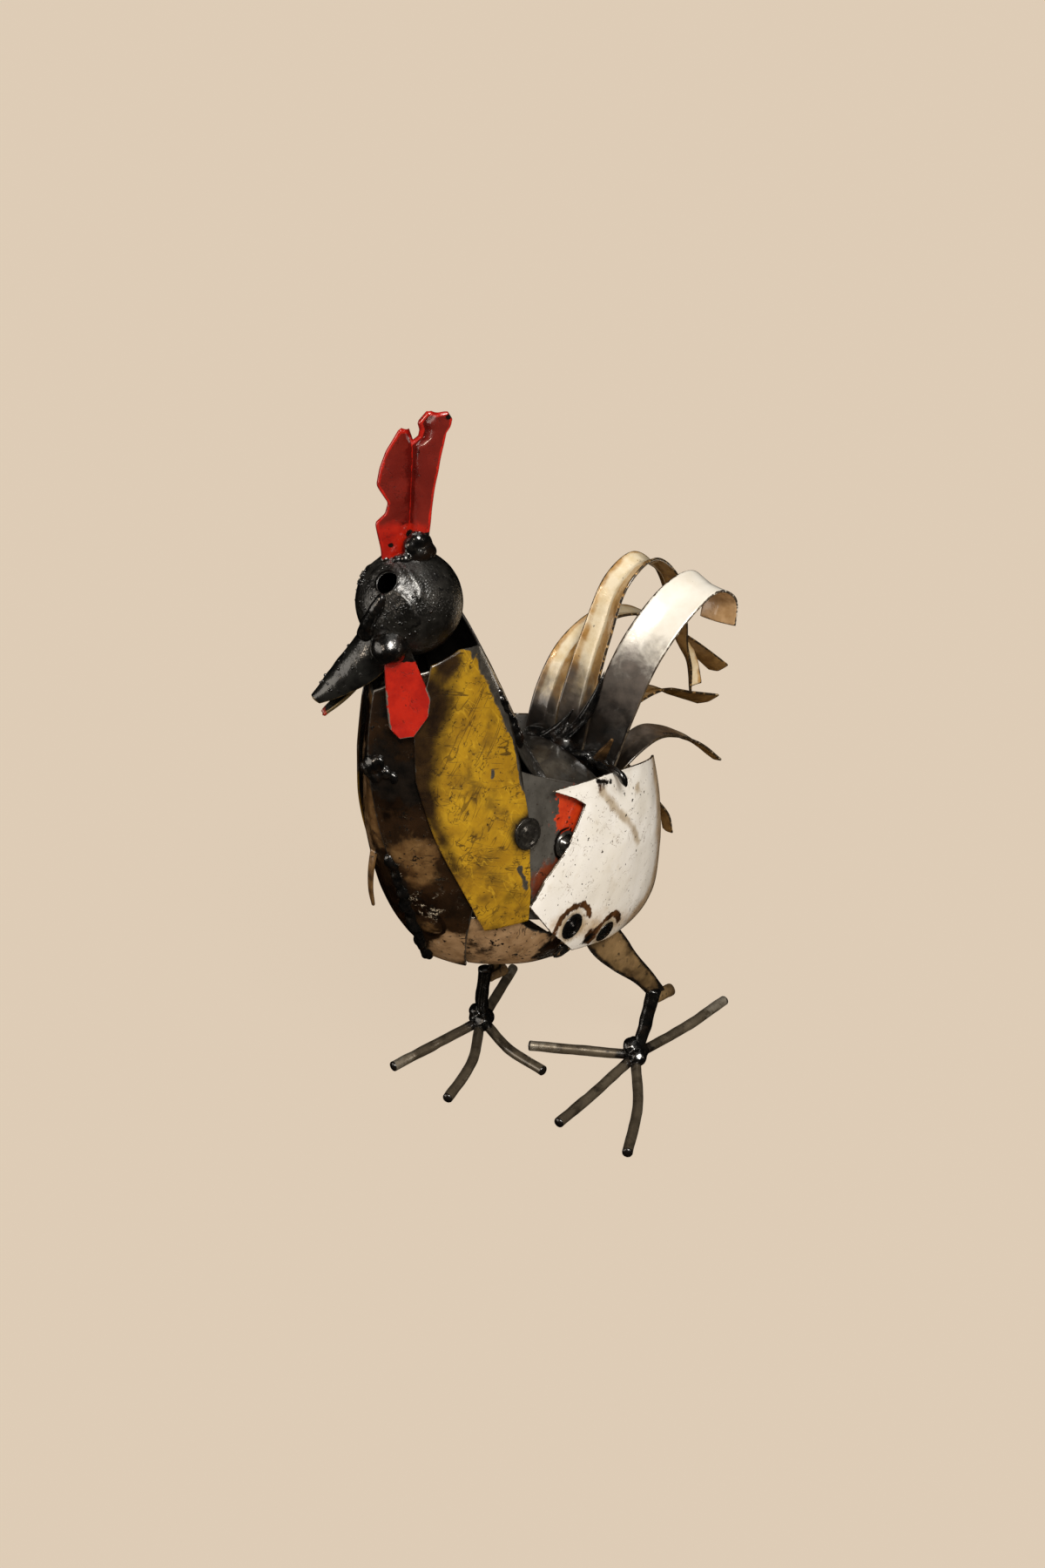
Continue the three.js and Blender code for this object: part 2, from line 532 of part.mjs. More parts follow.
// Tail: feathers of sheet that spring from one weld at the rear edge of the back plate. Points are
// [across, back, up] as shares of the body's half width, length and height, and widths are shares of
// FEATHER_WIDTH.
const FEATHER_WIDTH = 14;
const FEATHERS = [
  {
    name: 'tail_feather_1', paint: PAINT.steel, crease: 1.5,
    widths: [[0, 0.93], [0.15, 1], [0.35, 0.79], [0.6, 0.79], [1, 0.71]],
    twists: [[0, 0], [0.6, 0], [1, -0.6]],
    points: [[-0.393, 0.006, 0.457], [-0.417, 0.054, 0.611], [-0.405, 0.126, 0.728], [-0.393, 0.234, 0.778],
      [-0.393, 0.347, 0.759], [-0.429, 0.455, 0.691], [-0.476, 0.611, 0.549], [-0.476, 0.754, 0.401]],
  },
  {
    name: 'tail_feather_2', paint: PAINT.steel, crease: 2,
    widths: [[0, 0.93], [0.18, 1.29], [0.5, 1], [1, 0.64]],
    twists: [[0, 0], [0.78, 0], [0.9, 0.9], [1, 1.4]],
    points: [[-0.024, 0.012, 0.457], [0, 0.06, 0.636], [0.024, 0.12, 0.815], [0.024, 0.192, 0.951],
      [0.012, 0.287, 0.988], [-0.024, 0.383, 0.914], [-0.048, 0.437, 0.802], [-0.048, 0.467, 0.673],
      [-0.024, 0.515, 0.568], [-0.024, 0.533, 0.469]],
  },
  {
    name: 'tail_feather_3', paint: PAINT.white, crease: 1,
    widths: [[0, 0.96], [0.2, 1.32], [0.6, 1.36], [1, 1.25]],
    twists: [[0, 0.25], [0.2, 0.5], [0.6, 0.45], [0.8, 0.15], [1, -0.25]],
    points: [[0.321, 0.042, 0.463], [0.357, 0.108, 0.623], [0.369, 0.204, 0.772], [0.381, 0.341, 0.877],
      [0.381, 0.437, 0.892], [0.393, 0.497, 0.833], [0.405, 0.488, 0.753]],
  },
  {
    name: 'tail_feather_4', paint: PAINT.steel, crease: 1,
    widths: [[0, 0.64], [0.4, 0.86], [1, 0.86]],
    twists: [[0, 0], [0.5, -0.2], [1, -0.7]],
    points: [[-0.024, 0.06, 0.444], [-0.095, 0.144, 0.444], [-0.167, 0.269, 0.5], [-0.238, 0.413, 0.494],
      [-0.333, 0.557, 0.407], [-0.405, 0.695, 0.321]],
  },
  {
    name: 'tail_feather_5', paint: PAINT.steel, crease: 1,
    widths: [[0, 0.79], [0.4, 1], [0.7, 0.79], [1, 0.57]],
    points: [[0.286, 0.054, 0.37], [0.333, 0.15, 0.454], [0.333, 0.246, 0.481], [0.333, 0.323, 0.454],
      [0.333, 0.431, 0.377], [0.333, 0.527, 0.278]],
  },
  {
    name: 'tail_feather_6', paint: PAINT.steel, crease: 0.6,
    widths: [[0, 0.57], [0.5, 0.57], [1, 0.43]],
    points: [[-0.167, 0.054, 0.401], [-0.167, 0.162, 0.389], [-0.167, 0.269, 0.321], [-0.167, 0.347, 0.213],
      [-0.167, 0.416, 0.117], [-0.167, 0.464, 0.043], [-0.167, 0.482, -0.025]],
  },
];

function tailWeld(grow) {
  const beads = [
    [v3(-15, 1, 167), v3(8, 6, 7)], [v3(-3, 3, 165), v3(10, 7, 9)], [v3(9, 5, 163), v3(9, 7, 8)],
    [v3(4, 8, 153), v3(11, 6, 10)],
  ];
  const grown = beads.map(([centre, radii]) => lump(centre, radii.addScalar(grow), { around: 8, down: 5 }));
  return fuse(...grown);
}

// Runs of weld along the back plate's rear edge and over the top edge of the left rump plate.
function weldDrip() {
  const path = [v3(6, 4, 168), v3(18, 2, 171), v3(30, 0, 173.5), v3(38, 0, 172.5), v3(40.5, 1, 164)];
  return rod(path, 2.7, { sides: 6, steps: 6 });
}

const grownWeld = tailWeld(GAP);
const feathers = FEATHERS.map(({ name, paint, points, widths, ...shape }) => {
  const path = points.map(([across, back, up]) => (
    v3(across * BODY_HALF_WIDTH, back * BODY_LENGTH, UNDERSIDE + up * BODY_HEIGHT)
  ));
  const sized = { ...shape, widths: widths.map(([at, width]) => [at, width * FEATHER_WIDTH]) };
  addPiece(name, trim(strip(path, { ...sized, thickness: SHEET }), grownWeld), paint);
  return strip(path, { ...sized, thickness: SHEET + 2 * GAP });
});
const weld = fuse(tailWeld(0), weldDrip());
addPiece('tail_weld', trim(weld, backPlate(SHEET + 2 * GAP), grownRump, ...feathers), PAINT.black);

// Legs. The right leg is the left one mirrored and set ahead by the stride.
const onLeg = (side, left, back, up) => v3(side * left, side * (STRIDE / 2) + back, up);
const FOOT_LEFT = FOOT_SPREAD / 2;
const HOCK_LEFT = 33.4;
const HOCK_BACK = { left: 12.7, right: 1.3 }; // behind its own foot: the left leg swings back
const TOES = {
  left: [[-50.8, 52.4, 0], [9, 62.4, 0.5], [41.3, 70.1, 3], [179.5, 63.4, -1.5]],
  right: [[-3.1, 55.4, 0], [32.2, 60.8, 4], [85.3, 49.3, -3], [-153.3, 45.3, 0]],
};

function footKnot(side, grow) {
  const centre = onLeg(side, FOOT_LEFT, 0, 4.4);
  const radii = v3(FOOT_RADIUS, FOOT_RADIUS, FOOT_RADIUS - 0.8).addScalar(grow);
  return standOnGround(lump(centre, radii, { around: 10, down: 6 }), 40);
}

const hock = (side) => onLeg(side, HOCK_LEFT, side > 0 ? HOCK_BACK.left : HOCK_BACK.right, HOCK_HEIGHT);

function shank(side, radius) {
  const ankle = onLeg(side, FOOT_LEFT, 0, 2);
  return rod([ankle, ankle.clone().lerp(hock(side), 0.5), hock(side)], radius, { steps: 2 });
}

function spur(side) {
  const start = hock(side).add(v3(0, SHANK_RADIUS - 1, -5));
  return rod([start, start.clone().add(v3(0, 11, -1))], SPUR_RADIUS, { steps: 1 });
}

// Flat bar from under the rump plate down to the hock, tapering.
function thigh(side, thickness) {
  const top = onForm(side * 0.69, 0.2, -THIGH_BAR);
  const low = onForm(side * 0.67, 0.08, -2 * THIGH_BAR);
  const heel = hock(side).add(v3(0, 5, -6));
  const bow = side * 2; // how far the bar bulges backwards or forwards of a straight line
  const points = [
    top, low, low.clone().lerp(heel, 0.4).add(v3(0, -bow, 0)), low.clone().lerp(heel, 0.72), heel,
  ];
  return strip(points, {
    widths: [[0, 15], [0.35, 16], [0.7, 9], [1, 6.5]], thickness, across: v3(0, 1, 0.4), columns: 1, steps: 8,
  });
}

for (const [sideName, side] of Object.entries(SIDES)) {
  const knot = footKnot(side, GAP);
  const grownShank = shank(side, SHANK_RADIUS + GAP);
  addPiece(`foot_knot_${sideName}`, trim(footKnot(side, 0), grownShank), PAINT.black);
  addPiece(`shank_${sideName}`, shank(side, SHANK_RADIUS), PAINT.black);
  const nearPlates = [grownShank, grownBelly, side > 0 ? grownRump : grownRumpRight];
  addPiece(`thigh_${sideName}`, trim(thigh(side, THIGH_BAR), ...nearPlates), PAINT.brown);
  addPiece(`spur_${sideName}`, trim(spur(side), grownShank, thigh(side, THIGH_BAR + 2 * GAP)), PAINT.steel);
  const placedToes = [];
  TOES[sideName].forEach(([heading, length, bow], i) => {
    const angle = THREE.MathUtils.degToRad(heading);
    const out = v3(Math.sin(angle), -Math.cos(angle), 0);
    const sideways = v3(-out.y, out.x, 0);
    const start = onLeg(side, FOOT_LEFT, 0, TOE_HEIGHT);
    const middle = start.clone().addScaledVector(out, length / 2).addScaledVector(sideways, bow);
    const end = start.clone().addScaledVector(out, length);
    const path = bow === 0 ? [start, end] : [start, middle, end];
    const shape = { sides: TOE_SIDES, steps: bow === 0 ? 1 : 4 };
    addPiece(`toe_${sideName}_${i + 1}`, trim(rod(path, TOE_RADIUS, shape), knot, grownShank, ...placedToes),
      PAINT.steel);
    placedToes.push(rod(path, TOE_RADIUS + GAP, shape));
  });
}

// The part's origin is the middle of its footprint, on the ground.
const box = new THREE.Box3().setFromObject(figure, true);
figure.position.set(-(box.min.x + box.max.x) / 2, -(box.min.y + box.max.y) / 2, -box.min.z);

export default rooster;
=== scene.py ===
"""A welded scrap-metal rooster on a plain pale ground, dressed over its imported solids.

Shapes are worked out in millimetres in the maker's own frame, where the keel is at x = 0, and are
then moved to the part's frame, in metres.
"""
import math
from types import SimpleNamespace

import bpy
import numpy as np
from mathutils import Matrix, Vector


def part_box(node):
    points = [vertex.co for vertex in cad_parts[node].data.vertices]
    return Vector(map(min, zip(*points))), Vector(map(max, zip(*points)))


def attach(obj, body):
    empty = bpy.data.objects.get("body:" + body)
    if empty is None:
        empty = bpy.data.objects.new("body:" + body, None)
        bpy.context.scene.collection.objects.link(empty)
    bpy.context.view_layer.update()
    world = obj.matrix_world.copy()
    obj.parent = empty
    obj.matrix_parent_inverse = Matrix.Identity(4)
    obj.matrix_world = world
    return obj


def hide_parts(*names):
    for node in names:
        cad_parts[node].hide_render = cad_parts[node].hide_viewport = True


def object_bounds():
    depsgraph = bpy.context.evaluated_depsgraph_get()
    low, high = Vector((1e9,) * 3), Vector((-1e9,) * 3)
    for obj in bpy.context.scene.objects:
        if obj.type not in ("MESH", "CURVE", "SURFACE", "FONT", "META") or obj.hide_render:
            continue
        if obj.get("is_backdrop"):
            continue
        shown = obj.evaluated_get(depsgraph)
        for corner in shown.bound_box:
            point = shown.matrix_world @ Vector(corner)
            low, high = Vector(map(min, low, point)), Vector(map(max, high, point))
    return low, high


# Camera: a 50 mm lens one metre off, 47 degrees round to the rooster's left and 33 degrees up,
# as the photograph was taken. The whole picture is 1200 by 1800.
camera_data = bpy.data.cameras.new("camera")
camera_data.lens = 50
camera_data.sensor_fit = "AUTO"
camera_data.sensor_width = 36
camera = bpy.data.objects.new("camera", camera_data)
bpy.context.scene.collection.objects.link(camera)
bpy.context.scene.camera = camera

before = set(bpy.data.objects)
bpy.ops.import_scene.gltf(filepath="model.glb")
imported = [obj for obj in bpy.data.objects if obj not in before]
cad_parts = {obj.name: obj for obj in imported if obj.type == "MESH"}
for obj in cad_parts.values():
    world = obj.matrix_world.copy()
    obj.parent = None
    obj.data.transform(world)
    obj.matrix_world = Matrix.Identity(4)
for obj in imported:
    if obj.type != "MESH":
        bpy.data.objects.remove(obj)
cad_low, cad_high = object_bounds()

# The left foot's knot stands at (35.2, 18.3) in the maker's frame, which gives the way to the part's.
KNOT_LEFT_MM = np.array([35.2, 18.3, 0.0])
knot_low, knot_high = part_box("foot_knot_left")
SHIFT = np.array([500 * (knot_low.x + knot_high.x), 500 * (knot_low.y + knot_high.y), 0]) - KNOT_LEFT_MM

AZIMUTH, ELEVATION, DISTANCE = math.radians(47), math.radians(33), 1.0
TARGET = (np.array([-22.7, -2.4, 140.0]) + SHIFT) / 1000
level = math.cos(ELEVATION)
back = Vector((math.sin(AZIMUTH) * level, -math.cos(AZIMUTH) * level, math.sin(ELEVATION)))
camera.location = Vector(TARGET) + back * DISTANCE
camera.rotation_mode = "QUATERNION"
camera.rotation_quaternion = (-back).to_track_quat("-Z", "Y")


# Ground and light: a wide pale sheet that shines evenly by itself, as lit studio paper does, so that the
# bird casts almost no shadow; a broad soft sun from the bird's left; and soft windows seen in its lacquer.
def from_hex(code):
    """Linear red, green, blue and one of an sRGB hex colour."""
    srgb = np.array([int(code[i:i + 2], 16) for i in (1, 3, 5)]) / 255
    linear = np.where(srgb <= 0.04045, srgb / 12.92, ((srgb + 0.055) / 1.055) ** 2.4)
    return (*linear.tolist(), 1.0)


def add_node(tree, kind, settings=None, sockets=None):
    """Adds one node. settings are its properties; sockets has a value or another node's output by input."""
    node = tree.nodes.new(kind)
    for name, value in (settings or {}).items():
        setattr(node, name, value)
    for name, value in (sockets or {}).items():
        if isinstance(value, bpy.types.NodeSocket):
            tree.links.new(value, node.inputs[name])
        else:
            node.inputs[name].default_value = value
    return node


ground_paper = bpy.data.materials.new("ground_paper")
ground_paper.use_nodes = True
paper = ground_paper.node_tree.nodes["Principled BSDF"]
paper.inputs["Base Color"].default_value = from_hex("#2A2723")
paper.inputs["Emission Color"].default_value = from_hex("#DECCB6")
paper.inputs["Emission Strength"].default_value = 0.965
paper.inputs["Roughness"].default_value = 1.0
paper.inputs["Specular IOR Level"].default_value = 0.0

GROUND_HALF = 6.0
ground_mesh = bpy.data.meshes.new("ground")
ground_corners = [(GROUND_HALF * x, GROUND_HALF * y, 0) for x, y in ((-1, -1), (1, -1), (1, 1), (-1, 1))]
ground_mesh.from_pydata(ground_corners, [], [(0, 1, 2, 3)])
ground_mesh.materials.append(ground_paper)
ground = bpy.data.objects.new("ground", ground_mesh)
bpy.context.scene.collection.objects.link(ground)
ground.visible_glossy = False
ground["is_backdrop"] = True

world = bpy.data.worlds.new("room")
bpy.context.scene.world = world
world.use_nodes = True
room = world.node_tree.nodes["Background"]
room.inputs["Color"].default_value = from_hex("#F6F0E8")
room.inputs["Strength"].default_value = 0.36
world.cycles_visibility.glossy = False
bpy.context.scene.view_settings.view_transform = "Standard"
bpy.context.scene.view_settings.look = "None"


BIRD_MIDDLE = Vector((0, 0, 0.17))


def add_window(name, place, size, power, colour):
    """A soft square window of light at a place in metres, facing the bird, which only shows in glossy
    coats."""
    data = bpy.data.lights.new(name, "AREA")
    data.shape = "SQUARE"
    data.size = size
    data.energy = power
    data.color = from_hex(colour)[:3]
    light = bpy.data.objects.new(name, data)
    light.location = place
    light.rotation_mode = "QUATERNION"
    light.rotation_quaternion = (Vector(place) - BIRD_MIDDLE).to_track_quat("Z", "Y")
    light.visible_diffuse = False
    bpy.context.scene.collection.objects.link(light)


add_window("key_window", (0.75, -0.35, 1.25), 0.16, 3.2, "#FFF6EA")
add_window("right_window", (1.3, 0.35, 0.75), 0.3, 1.4, "#FFF1E0")
add_window("front_window", (-0.1, -1.3, 0.95), 0.22, 3.0, "#FFEBD4")
add_window("top_sheen", (0.0, 0.2, 1.6), 1.0, 2.6, "#FFFAF0")
add_window("left_sheen", (-0.65, -1.15, 0.4), 0.8, 4.6, "#FFF6EA")

sun_data = bpy.data.lights.new("soft_sun", "SUN")
sun_data.energy = 3.3
sun_data.angle = math.radians(24)
sun_data.color = from_hex("#FFFBF4")[:3]
sun = bpy.data.objects.new("soft_sun", sun_data)
sun.rotation_mode = "QUATERNION"
sun.rotation_quaternion = Vector((0.72, -0.38, 1.05)).to_track_quat("Z", "Y")
bpy.context.scene.collection.objects.link(sun)

# The form that all body plates are beaten to, a tall egg that narrows to the neck. Each table has
# heights as shares of the body's height, and places or widths as shares of its length or half width.
UNDERSIDE, BODY_HEIGHT, BODY_LENGTH, BODY_HALF_WIDTH = 88, 162, 167, 42
BREAST_LINE = [
    [0, -0.42], [0.06, -0.49], [0.21, -0.58], [0.36, -0.63], [0.52, -0.66], [0.69, -0.665], [0.85, -0.655],
    [1, -0.625], [1.12, -0.59]]
FLANK_LINE = [
    [0, -0.215], [0.21, -0.28], [0.36, -0.305], [0.52, -0.335], [0.69, -0.365], [0.85, -0.395], [1, -0.43],
    [1.12, -0.47]]
RUMP_LINE = [[0, 0.12], [0.05, 0.235], [0.11, 0.295], [0.21, 0.315], [0.36, 0.315], [0.52, 0.275], [1, 0.275]]
NAPE_LINE = [[0.38, -0.045], [0.52, -0.12], [0.69, -0.2], [0.85, -0.265], [1, -0.33], [1.12, -0.383]]
WIDTH_LINE = [
    [0, 0.38], [0.045, 0.74], [0.105, 0.905], [0.21, 1], [0.36, 1], [0.52, 0.88], [0.69, 0.715], [0.85, 0.57],
    [1, 0.45], [1.12, 0.34]]
SAG, SAG_TOP, SAG_FULL = 0.195, 0.52, 0.21
FORM_STEP, FALL = 0.012, 2.2


def eased(table, at):
    """Values at the given places in a table of [place, value] rows: cubic Hermite pieces, whose slope at a
    row is that of the line between its two neighbours."""
    places, values = np.array(table, float).T
    slopes = np.gradient(values, edge_order=1)
    slopes[1:-1] = (values[2:] - values[:-2]) / (places[2:] - places[:-2])
    slopes[[0, -1]] = (values[[1, -1]] - values[[0, -2]]) / (places[[1, -1]] - places[[0, -2]])
    x = np.clip(at, places[0], places[-1])
    i = np.clip(np.searchsorted(places, x, side="right") - 1, 0, len(places) - 2)
    span = places[i + 1] - places[i]
    s = (x - places[i]) / span
    start = (1 + 2 * s) * (1 - s) ** 2 * values[i] + s * (1 - s) ** 2 * span * slopes[i]
    end = s * s * (3 - 2 * s) * values[i + 1] + s * s * (s - 1) * span * slopes[i + 1]
    return start + end


def form_point(turn, share, is_neck=False):
    """Point of the form. turn runs from 0 at the keel by 0.5 at the left flank to 1 at the rear, and is
    negative on the right; share is the height. Each level is a blend of a cosine and a straight run between
    the breast, flank and rear lines, as wide as a power of the sine, and the lower body sags towards the
    rump."""
    turn, share = np.broadcast_arrays(np.asarray(turn, float), np.asarray(share, float))
    around = turn - 2 * np.round(turn / 2)
    t = np.abs(around)
    front = BODY_LENGTH * eased(BREAST_LINE, share)
    flank = BODY_LENGTH * eased(FLANK_LINE, share)
    rear = BODY_LENGTH * eased(NAPE_LINE if is_neck else RUMP_LINE, share)
    half = BODY_HALF_WIDTH * eased(WIDTH_LINE, share)
    power = np.where(t < 0.5, 0.85, 0.8 if is_neck else 0.62)
    x = np.where(around < 0, -1, 1) * half * np.abs(np.sin(np.pi * t)) ** power
    mix = 0.55 * np.cos(np.pi * t) + 0.45 * (1 - 2 * t)
    y = np.where(t < 0.5, flank - (flank - front) * mix, flank - (rear - flank) * mix)
    drop = 0 if is_neck else SAG * np.clip((SAG_TOP - share) / (SAG_TOP - SAG_FULL), 0, 1) * (y - front)
    return np.stack([x, y, UNDERSIDE + BODY_HEIGHT * share - drop], axis=-1)


def unit(vectors):
    """The same directions with length one."""
    return vectors / np.maximum(np.linalg.norm(vectors, axis=-1, keepdims=True), 1e-9)


def form_normal(turn, share, is_neck=False):
    """Outward direction of the form, across small steps in turn and height."""
    turn, share = np.asarray(turn, float), np.asarray(share, float)
    round_it = form_point(turn + FORM_STEP, share, is_neck) - form_point(turn - FORM_STEP, share, is_neck)
    up_it = form_point(turn, share + FORM_STEP, is_neck) - form_point(turn, share - FORM_STEP, is_neck)
    return unit(np.cross(round_it, up_it))


def on_form(turn, share, lift, is_neck=False):
    """Point at a lift in millimetres off the form."""
    return form_point(turn, share, is_neck) + form_normal(turn, share, is_neck) * lift


def lumps(points, grain, seed):
    """Smooth unevenness from -1 to 1: hashed values at the corners of a cubic lattice, grain millimetres
    apart, joined by a smoothstep each way."""
    at = np.asarray(points, float) / grain
    cell = np.floor(at).astype(np.int64)
    part = at - cell
    part = part * part * (3 - 2 * part)
    total = np.zeros(at.shape[:-1])
    for corner in np.ndindex(2, 2, 2):
        key = cell + np.array(corner)
        mixed = (key[..., 0] * 73856093) ^ (key[..., 1] * 19349663) ^ (key[..., 2] * 83492791)
        mixed = mixed ^ (seed * 265443576)
        mixed = ((mixed ^ (mixed >> 13)) * 1274126177) & 0x7FFFFFFF
        value = ((mixed ^ (mixed >> 16)) & 0xFFFF) / 32767.5 - 1
        total += value * np.prod(np.where(corner, part, 1 - part), axis=-1)
    return total


def near(points, centre, radius):
    """One at the centre, falling smoothly to zero about radius millimetres away."""
    gap = np.linalg.norm(points - np.asarray(centre, float), axis=-1) / radius
    return np.exp(-FALL * gap * gap)


def near_path(points, path, radius):
    """One on a polyline, falling smoothly to zero about radius millimetres away."""
    path = np.asarray(path, float)
    closest = np.full(points.shape[:-1], 1e9)
    for start, end in zip(path[:-1], path[1:]):
        run = end - start
        share = np.clip(((points - start) @ run) / (run @ run), 0, 1)
        closest = np.minimum(closest, np.linalg.norm(points - start - share[..., None] * run, axis=-1))
    return np.exp(-FALL * (closest / radius) ** 2)


def near_ring(points, centre, radius, width):
    """One at a radius from the centre, falling smoothly to zero about width millimetres to either side."""
    gap = (np.linalg.norm(points - np.asarray(centre, float), axis=-1) - radius) / width
    return np.exp(-FALL * gap * gap)


def sheet_shell(middle, outward, thickness, proud=0.0):
    """Closed sheet about a grid of mid-surface points: the outer face lies half the thickness out, and
    proud of that, the inner face half the thickness in, and a rounded rim joins them. Gives corners, faces
    and each corner's place in the grid."""
    rows, columns = middle.shape[:2]
    middle, outward = middle.reshape(-1, 3), outward.reshape(-1, 3)
    proud = np.broadcast_to(np.asarray(proud, float), (rows, columns)).reshape(-1, 1)
    outer = middle + outward * (thickness / 2 + proud)
    inner = middle - outward * thickness / 2
    place = np.arange(rows * columns).reshape(rows, columns)
    loop = np.concatenate([place[0, :-1], place[:-1, -1], place[-1, :0:-1], place[:0:-1, 0]])
    inside = place[np.clip(loop // columns, 1, rows - 2), np.clip(loop % columns, 1, columns - 2)]
    rim = (outer[loop] + inner[loop]) / 2 + unit(middle[loop] - middle[inside]) * thickness * 0.35
    quads = np.stack([place[:-1, :-1], place[:-1, 1:], place[1:, 1:], place[1:, :-1]], -1).reshape(-1, 4)
    size = rows * columns
    near_rim = 2 * size + np.arange(len(loop))
    following, next_rim = np.roll(loop, -1), np.roll(near_rim, -1)
    faces = np.concatenate([
        quads, quads[:, ::-1] + size,
        np.stack([following, loop, near_rim, next_rim], -1),
        np.stack([next_rim, near_rim, loop + size, following + size], -1)])
    return np.concatenate([outer, inner, rim]), faces, np.concatenate([place.ravel(), place.ravel(), loop])


def put_piece(name, corners, faces, material, slot, stands_for=(), marks=None):
    """Makes a mesh object of corners in millimetres in the maker's frame, turned to face out by its signed
    volume. marks are values for each corner that its material reads by name."""
    groups = faces if isinstance(faces, list) else [faces]
    volume = 0
    for group in groups:
        for k in range(2, group.shape[1]):
            first, second, third = (corners[group[:, i]] for i in (0, k - 1, k))
            volume += np.einsum("ij,ij->", first, np.cross(second, third))
    turned = [group[:, ::-1] if volume < 0 else group for group in groups]
    mesh = bpy.data.meshes.new(name)
    face_list = [face for group in turned for face in group.tolist()]
    mesh.from_pydata(((corners + SHIFT) / 1000).tolist(), [], face_list)
    mesh.shade_smooth()
    for mark, values in (marks or {}).items():
        layer = mesh.attributes.new(mark, "FLOAT", "POINT")
        layer.data.foreach_set("value", np.ascontiguousarray(values, np.float32).ravel())
    mesh.materials.append(material)
    mesh.update()
    piece = bpy.data.objects.new(name, mesh)
    bpy.context.scene.collection.objects.link(piece)
    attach(piece, "root")
    if stands_for:
        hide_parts(*stands_for)
    return piece


def put_sheet(name, middle, outward, thickness, material, slot, marks, stands_for=(), proud=0.0, inside=None,
              turned=None):
    """Makes a piece of sheet from its mid-surface grid. marks are values over the grid. inside is the face
    that also gets the mark of that name, 0 for the outer and 1 for the inner. turned moves the corners at
    the end."""
    corners, faces, source = sheet_shell(middle, outward, thickness, proud)
    values = {mark: np.clip(at, 0, 1).ravel()[source] for mark, at in marks.items()}
    if inside is not None:
        values["inside"] = (np.arange(len(corners)) // middle[..., 0].size == inside).astype(float)
    put_piece(name, turned(corners) if turned else corners, faces, material, slot, stands_for, values)


# Body plates: car and drum sheet about a millimetre thick, cut with a torch, beaten over a form and lapped
# like tiles. Outer plates keep their old enamel; where the torch ran, it is burnt off to dark steel, and a
# thick clear lacquer over everything gives wet highlights.
SHEET = 1.2
PITCH = SHEET + 0.6
OUTER, MIDDLE, INNER = PITCH, 0.0, -PITCH


def coat(dark, light, rough, metal=0.0, mottle=6, grain=5, lines=0, level=0, blur=0.02, curl=0.3, detail=4.0,
         breaks=9, stretch=None, strength=1.0, rise=0.0, **follows):
    """One coat of a finish: two colours that mottle into each other, a roughness and a metallic value. It
    lies where noise of its grain in millimetres, plus a pull times each named mark it follows, rises above
    its level; lines makes it thin wandering scratches in broken stretches, and stretch turns and draws them
    out."""
    return SimpleNamespace(**locals())


